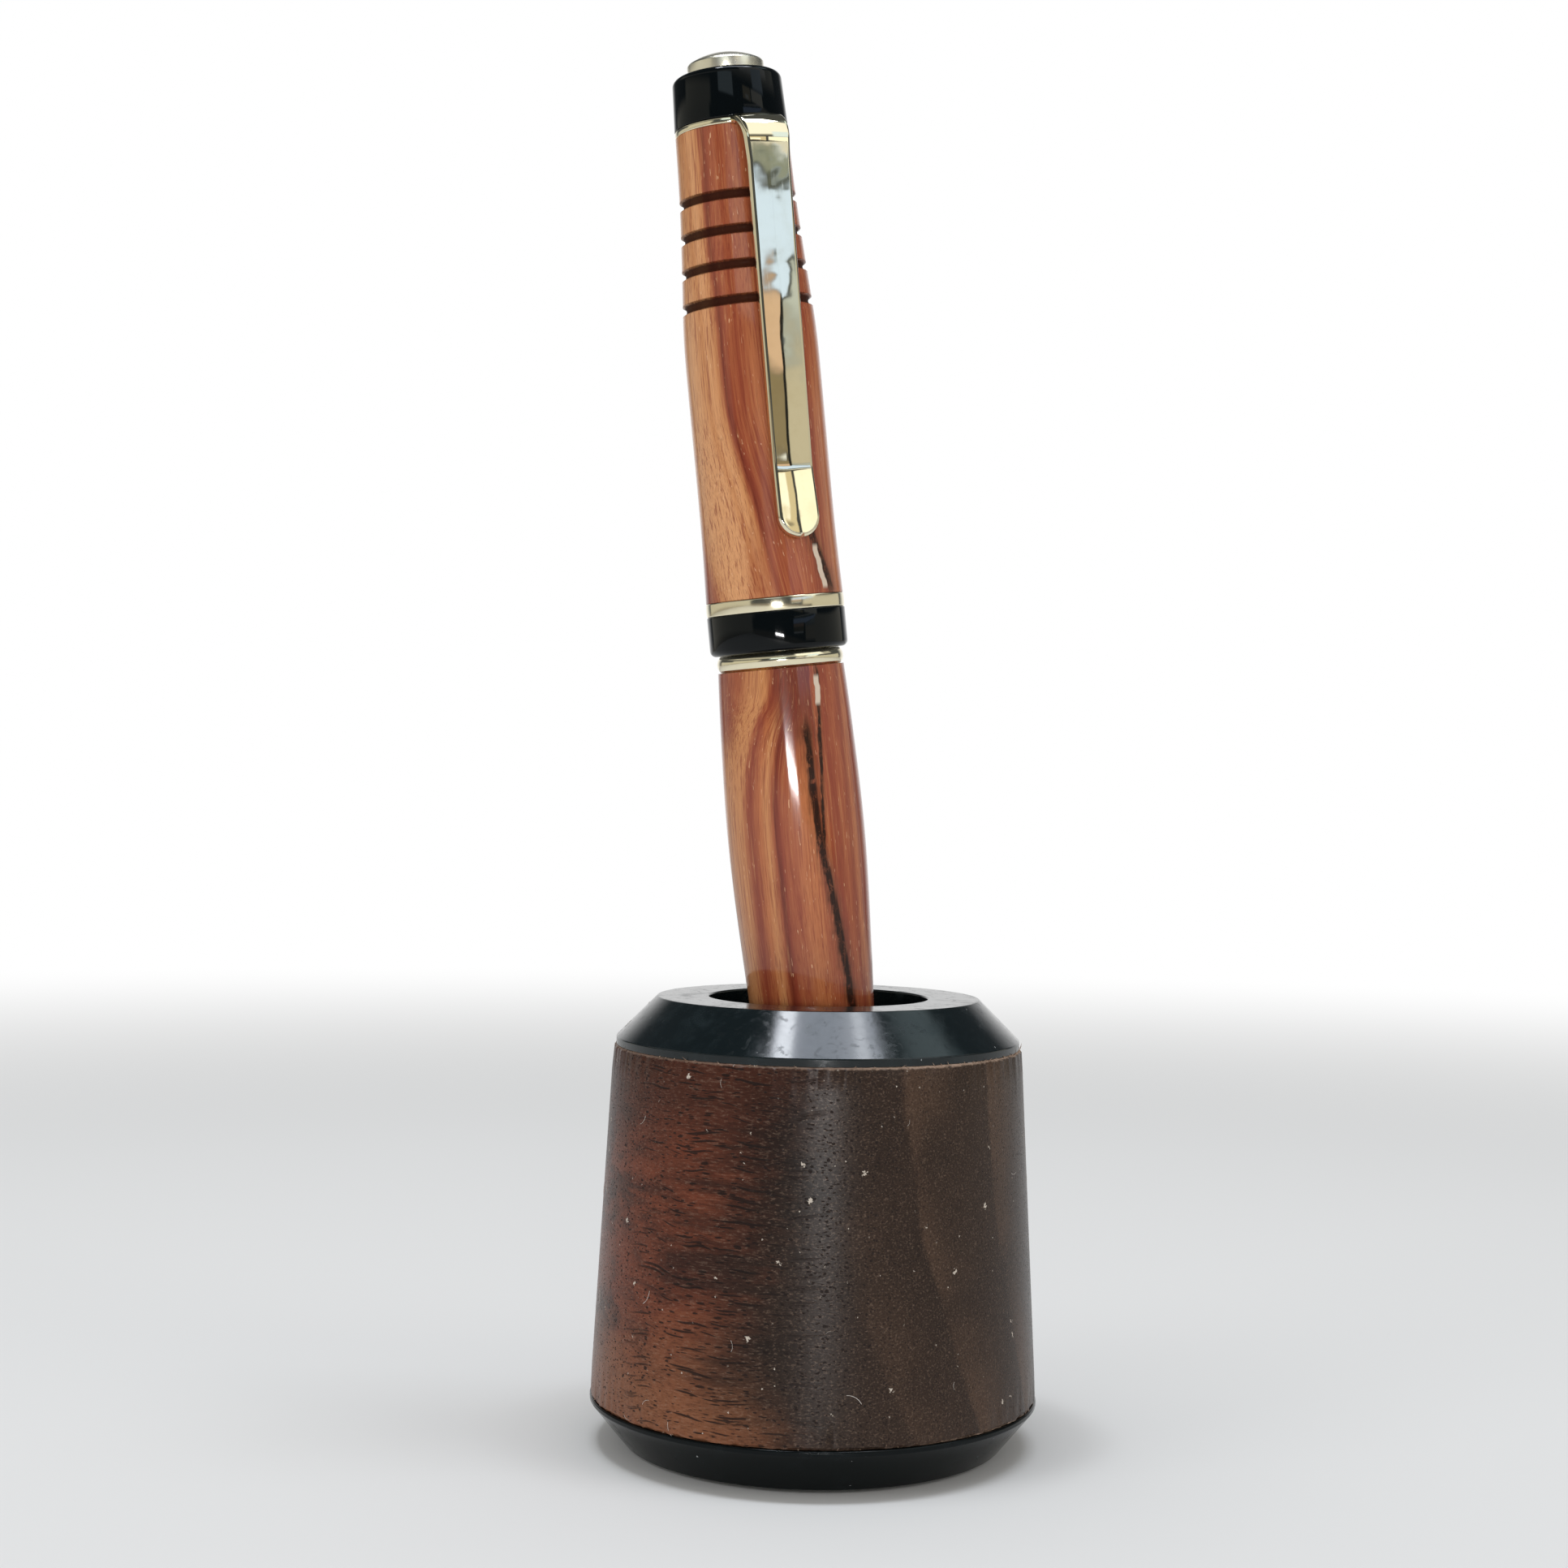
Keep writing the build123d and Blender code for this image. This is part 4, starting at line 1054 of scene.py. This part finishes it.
# Stage: a small pale table that fades into a white surround, lamps by the camera, overhead and at each side
stageSetup = {
    "floor": tone(226, 225, 222), "floorSize": 900, "fade": (240, 700), "surround": (1, 1, 1, 1),
    "ambient": 0.54,
    "aim": (0, 0, 70),  # where a lamp looks that doesn't hang straight above its own spot
    "lamps": [
        {"name": "frontFill", "place": (75, -1050, 66), "size": (260, 200), "radiance": 24.0,
         "tint": (1, 0.99, 0.97), "shine": False},
        {"name": "frontSpark", "place": (72, -1050, 43), "size": (240, 20), "radiance": 155.0,
         "tint": (1, 1, 1), "fill": False},
        {"name": "overhead", "place": (43, -58, 830), "aim": (43, -58, 0), "size": (513, 180),
         "radiance": 6.9, "tint": (0.9, 0.98, 1.12)},
        {"name": "skylightLeft", "place": (-158, -50, 828), "aim": (-158, -50, 0), "size": (85, 160),
         "radiance": 17.0, "tint": (0.96, 1, 1.04)},
        {"name": "skylightRight", "place": (207, -50, 828), "aim": (207, -50, 0), "size": (62, 160),
         "radiance": 6.0, "tint": (0.96, 1, 1.04)},
        {"name": "leftSide", "place": (-700, -480, 560), "size": (420, 520), "radiance": 1.4,
         "tint": (0.96, 0.99, 1.03), "shine": False},
        {"name": "rightSide", "place": (820, -420, 460), "size": (420, 520), "radiance": 1.2,
         "tint": (1.03, 1, 0.95), "shine": False},
    ],
    # What polished surfaces see: a dim room with panels of (turn, rise, slant, softness, tint). Turn and rise
    # are degrees from the camera's side, and a slanted panel has the rise given at the turn slantFrom
    "room": (0.07, 0.075, 0.08, 1), "backdrop": (0.72, 0.96), "backdropTop": (32, 48), "slantFrom": 41,
    "panels": [
        ((-180, 180), (-90, -2), 0, 1.0, (0.25, 0.22, 0.18)),
        ((-122, 112), (22, 36), 0, 3.0, (0.5, 0.49, 0.44)),
        ((-135, -40), (-4, 9), 0, 2.0, (0.58, 0.56, 0.48)),
        ((65, 135), (-4, 13), 0, 1.0, (0.58, 0.56, 0.48)),
        ((-96, -36), (5, 15), 0, 3.0, (0.64, 0.62, 0.52)),
        # Seen in the clip, from its foot to its top; their edges slant with the crown of its face
        ((47.5, 66), (-2, 5.5), 0.122, 1.3, (0.62, 0.58, 0.48)),
        ((47.5, 66), (5.5, 9), 0.122, 1.3, (0.6, 0.67, 0.7)),
        ((28, 45.5), (2.6, 5), 0.122, 0.6, (0.3, 0.25, 0.16)),
        ((28, 46), (5, 6.7), 0.122, 0.4, (0.78, 0.56, 0.42)),
        ((28, 44), (1.7, 2.5), 0.122, 0.25, (0.95, 1.0, 1.05)),
        ((28, 47.5), (6.85, 9.3), 0.122, 0.2, (0.78, 1.0, 1.42)),
        ((47.5, 68), (5.65, 9), 0.227, 0.15, (0.78, 1.0, 1.42)),
        ((46.8, 60), (5.36, 5.64), 0.227, 0.12, (0.03, 0.03, 0.03)),
        ((45.6, 47.6), (1.4, 6.4), 0.122, 0.3, (0.02, 0.02, 0.02)),
        ((30, 70), (9.6, 10), 0.122, 0.12, (0.3, 0.34, 0.3)),
        ((44, 66), (9.15, 9.6), 0.122, 0.12, (0.08, 0.09, 0.08)),
        ((30, 70), (10.05, 10.6), 0.122, 0.12, (0.85, 0.83, 0.76)),
        ((47.6, 72), (12.8, 18), 0, 0.5, (1.3, 1.28, 1.12)),
        ((30, 45.5), (12.2, 18), 0, 0.4, (0.8, 0.7, 0.48)),
        ((35, 41.5), (12.8, 14.6), 0, 0.4, (1.3, 1.3, 1.2)),
        ((28, 90), (25, 80), 0, 2.0, (1.2, 1.2, 1.15)),
        # Seen in the finial and the collar
        ((52, 76), (18.5, 32), 0, 1.5, (0.9, 1.08, 1.25)),
        ((-19, 10), (11, 22), 0, 0.8, (0.95, 1.15, 1.25)),
        ((97, 122), (46, 63), 0, 4.0, (1.1, 1.35, 1.4)),
    ],
}


def makeLamp(setup, aim):
    data = bpy.data.lights.new(setup["name"], "AREA")
    data.shape = "RECTANGLE"
    data.size, data.size_y = [side * mm for side in setup["size"]]
    data.energy = setup["radiance"] * math.pi * data.size * data.size_y
    data.color = setup["tint"]
    lamp = bpy.data.objects.new(setup["name"], data)
    place = Vector(setup["place"]) * mm
    lamp.location = place
    ahead = Vector(setup.get("aim", aim)) * mm - place
    lamp.rotation_euler = ahead.to_track_quat("-Z", "Y").to_euler()
    lamp.visible_glossy = setup.get("shine", True)
    lamp.visible_diffuse = setup.get("fill", True)
    scene.collection.objects.link(lamp)


def makeFloor(setup):
    size = setup["floorSize"] * mm
    mesh = bpy.data.meshes.new("paleFloor")
    corners = [(-size, -size, 0), (size, -size, 0), (size, size, 0), (-size, size, 0)]
    mesh.from_pydata(corners, [], [(0, 1, 2, 3)])
    floor = bpy.data.objects.new("paleFloor", mesh)
    scene.collection.objects.link(floor)
    material, tree = newFinish("paleFloor")
    side, depth = tree.parts(tree.millimetres())[:2]
    away = tree.step((side * side + depth * depth) ** 0.5, *setup["fade"])
    paper = tree.node("ShaderNodeBsdfDiffuse", {}, {"Color": setup["floor"]})
    white = tree.node("ShaderNodeEmission", {}, {"Color": setup["surround"]})
    seen = tree.node("ShaderNodeLightPath", out="Is Camera Ray")
    shader = tree.node("ShaderNodeMixShader", {}, {0: away * seen, 1: paper, 2: white})
    tree.node("ShaderNodeOutputMaterial", {}, {"Surface": shader})
    mesh.materials.append(material)
    floor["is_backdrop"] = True


def makeSurround(setup):
    world = bpy.data.worlds.new("studioSurround")
    world.use_nodes = True
    scene.world = world
    tree = Tree(world.node_tree)
    rays = [tree.node("ShaderNodeLightPath", out="Is " + kind + " Ray")
            for kind in ("Camera", "Glossy", "Transmission")]
    right, away, up = tree.parts(tree.node("ShaderNodeTexCoord", out="Generated"))
    turn = right.sum("ARCTAN2", right, away * -1) * (180 / math.pi)
    rise = up.sum("ARCSINE", up) * (180 / math.pi)
    seen = setup["room"]
    for turns, rises, slant, soft, tint in setup["panels"]:
        level = rise - (turn - setup["slantFrom"]) * slant
        inside = tree.within(turn, *turns, soft, soft) * tree.within(level, *rises, soft, soft)
        seen = tree.mix(inside, seen, (*tint, 1))
    backdrop = tree.step(away, *setup["backdrop"]) * (1 - tree.step(rise, *setup["backdropTop"]))
    seen = tree.mix(backdrop, seen, setup["surround"])  # the white backdrop shows in polished surfaces too
    ambient = setup["ambient"]
    colour = tree.mix(tree.most(*rays[1:]), (ambient, ambient, ambient, 1), seen)
    colour = tree.mix(rays[0], colour, setup["surround"])
    light = tree.node("ShaderNodeBackground", {}, {"Color": colour, "Strength": 1.0})
    tree.node("ShaderNodeOutputWorld", {}, {"Surface": light})


for lamp in stageSetup["lamps"]:
    makeLamp(lamp, stageSetup["aim"])
makeFloor(stageSetup)
makeSurround(stageSetup)
print("stage set:", len(stageSetup["lamps"]), "lamps")

sizes = {"cad": [list(corner) for corner in cadBox], "visual": [list(corner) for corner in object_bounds()]}
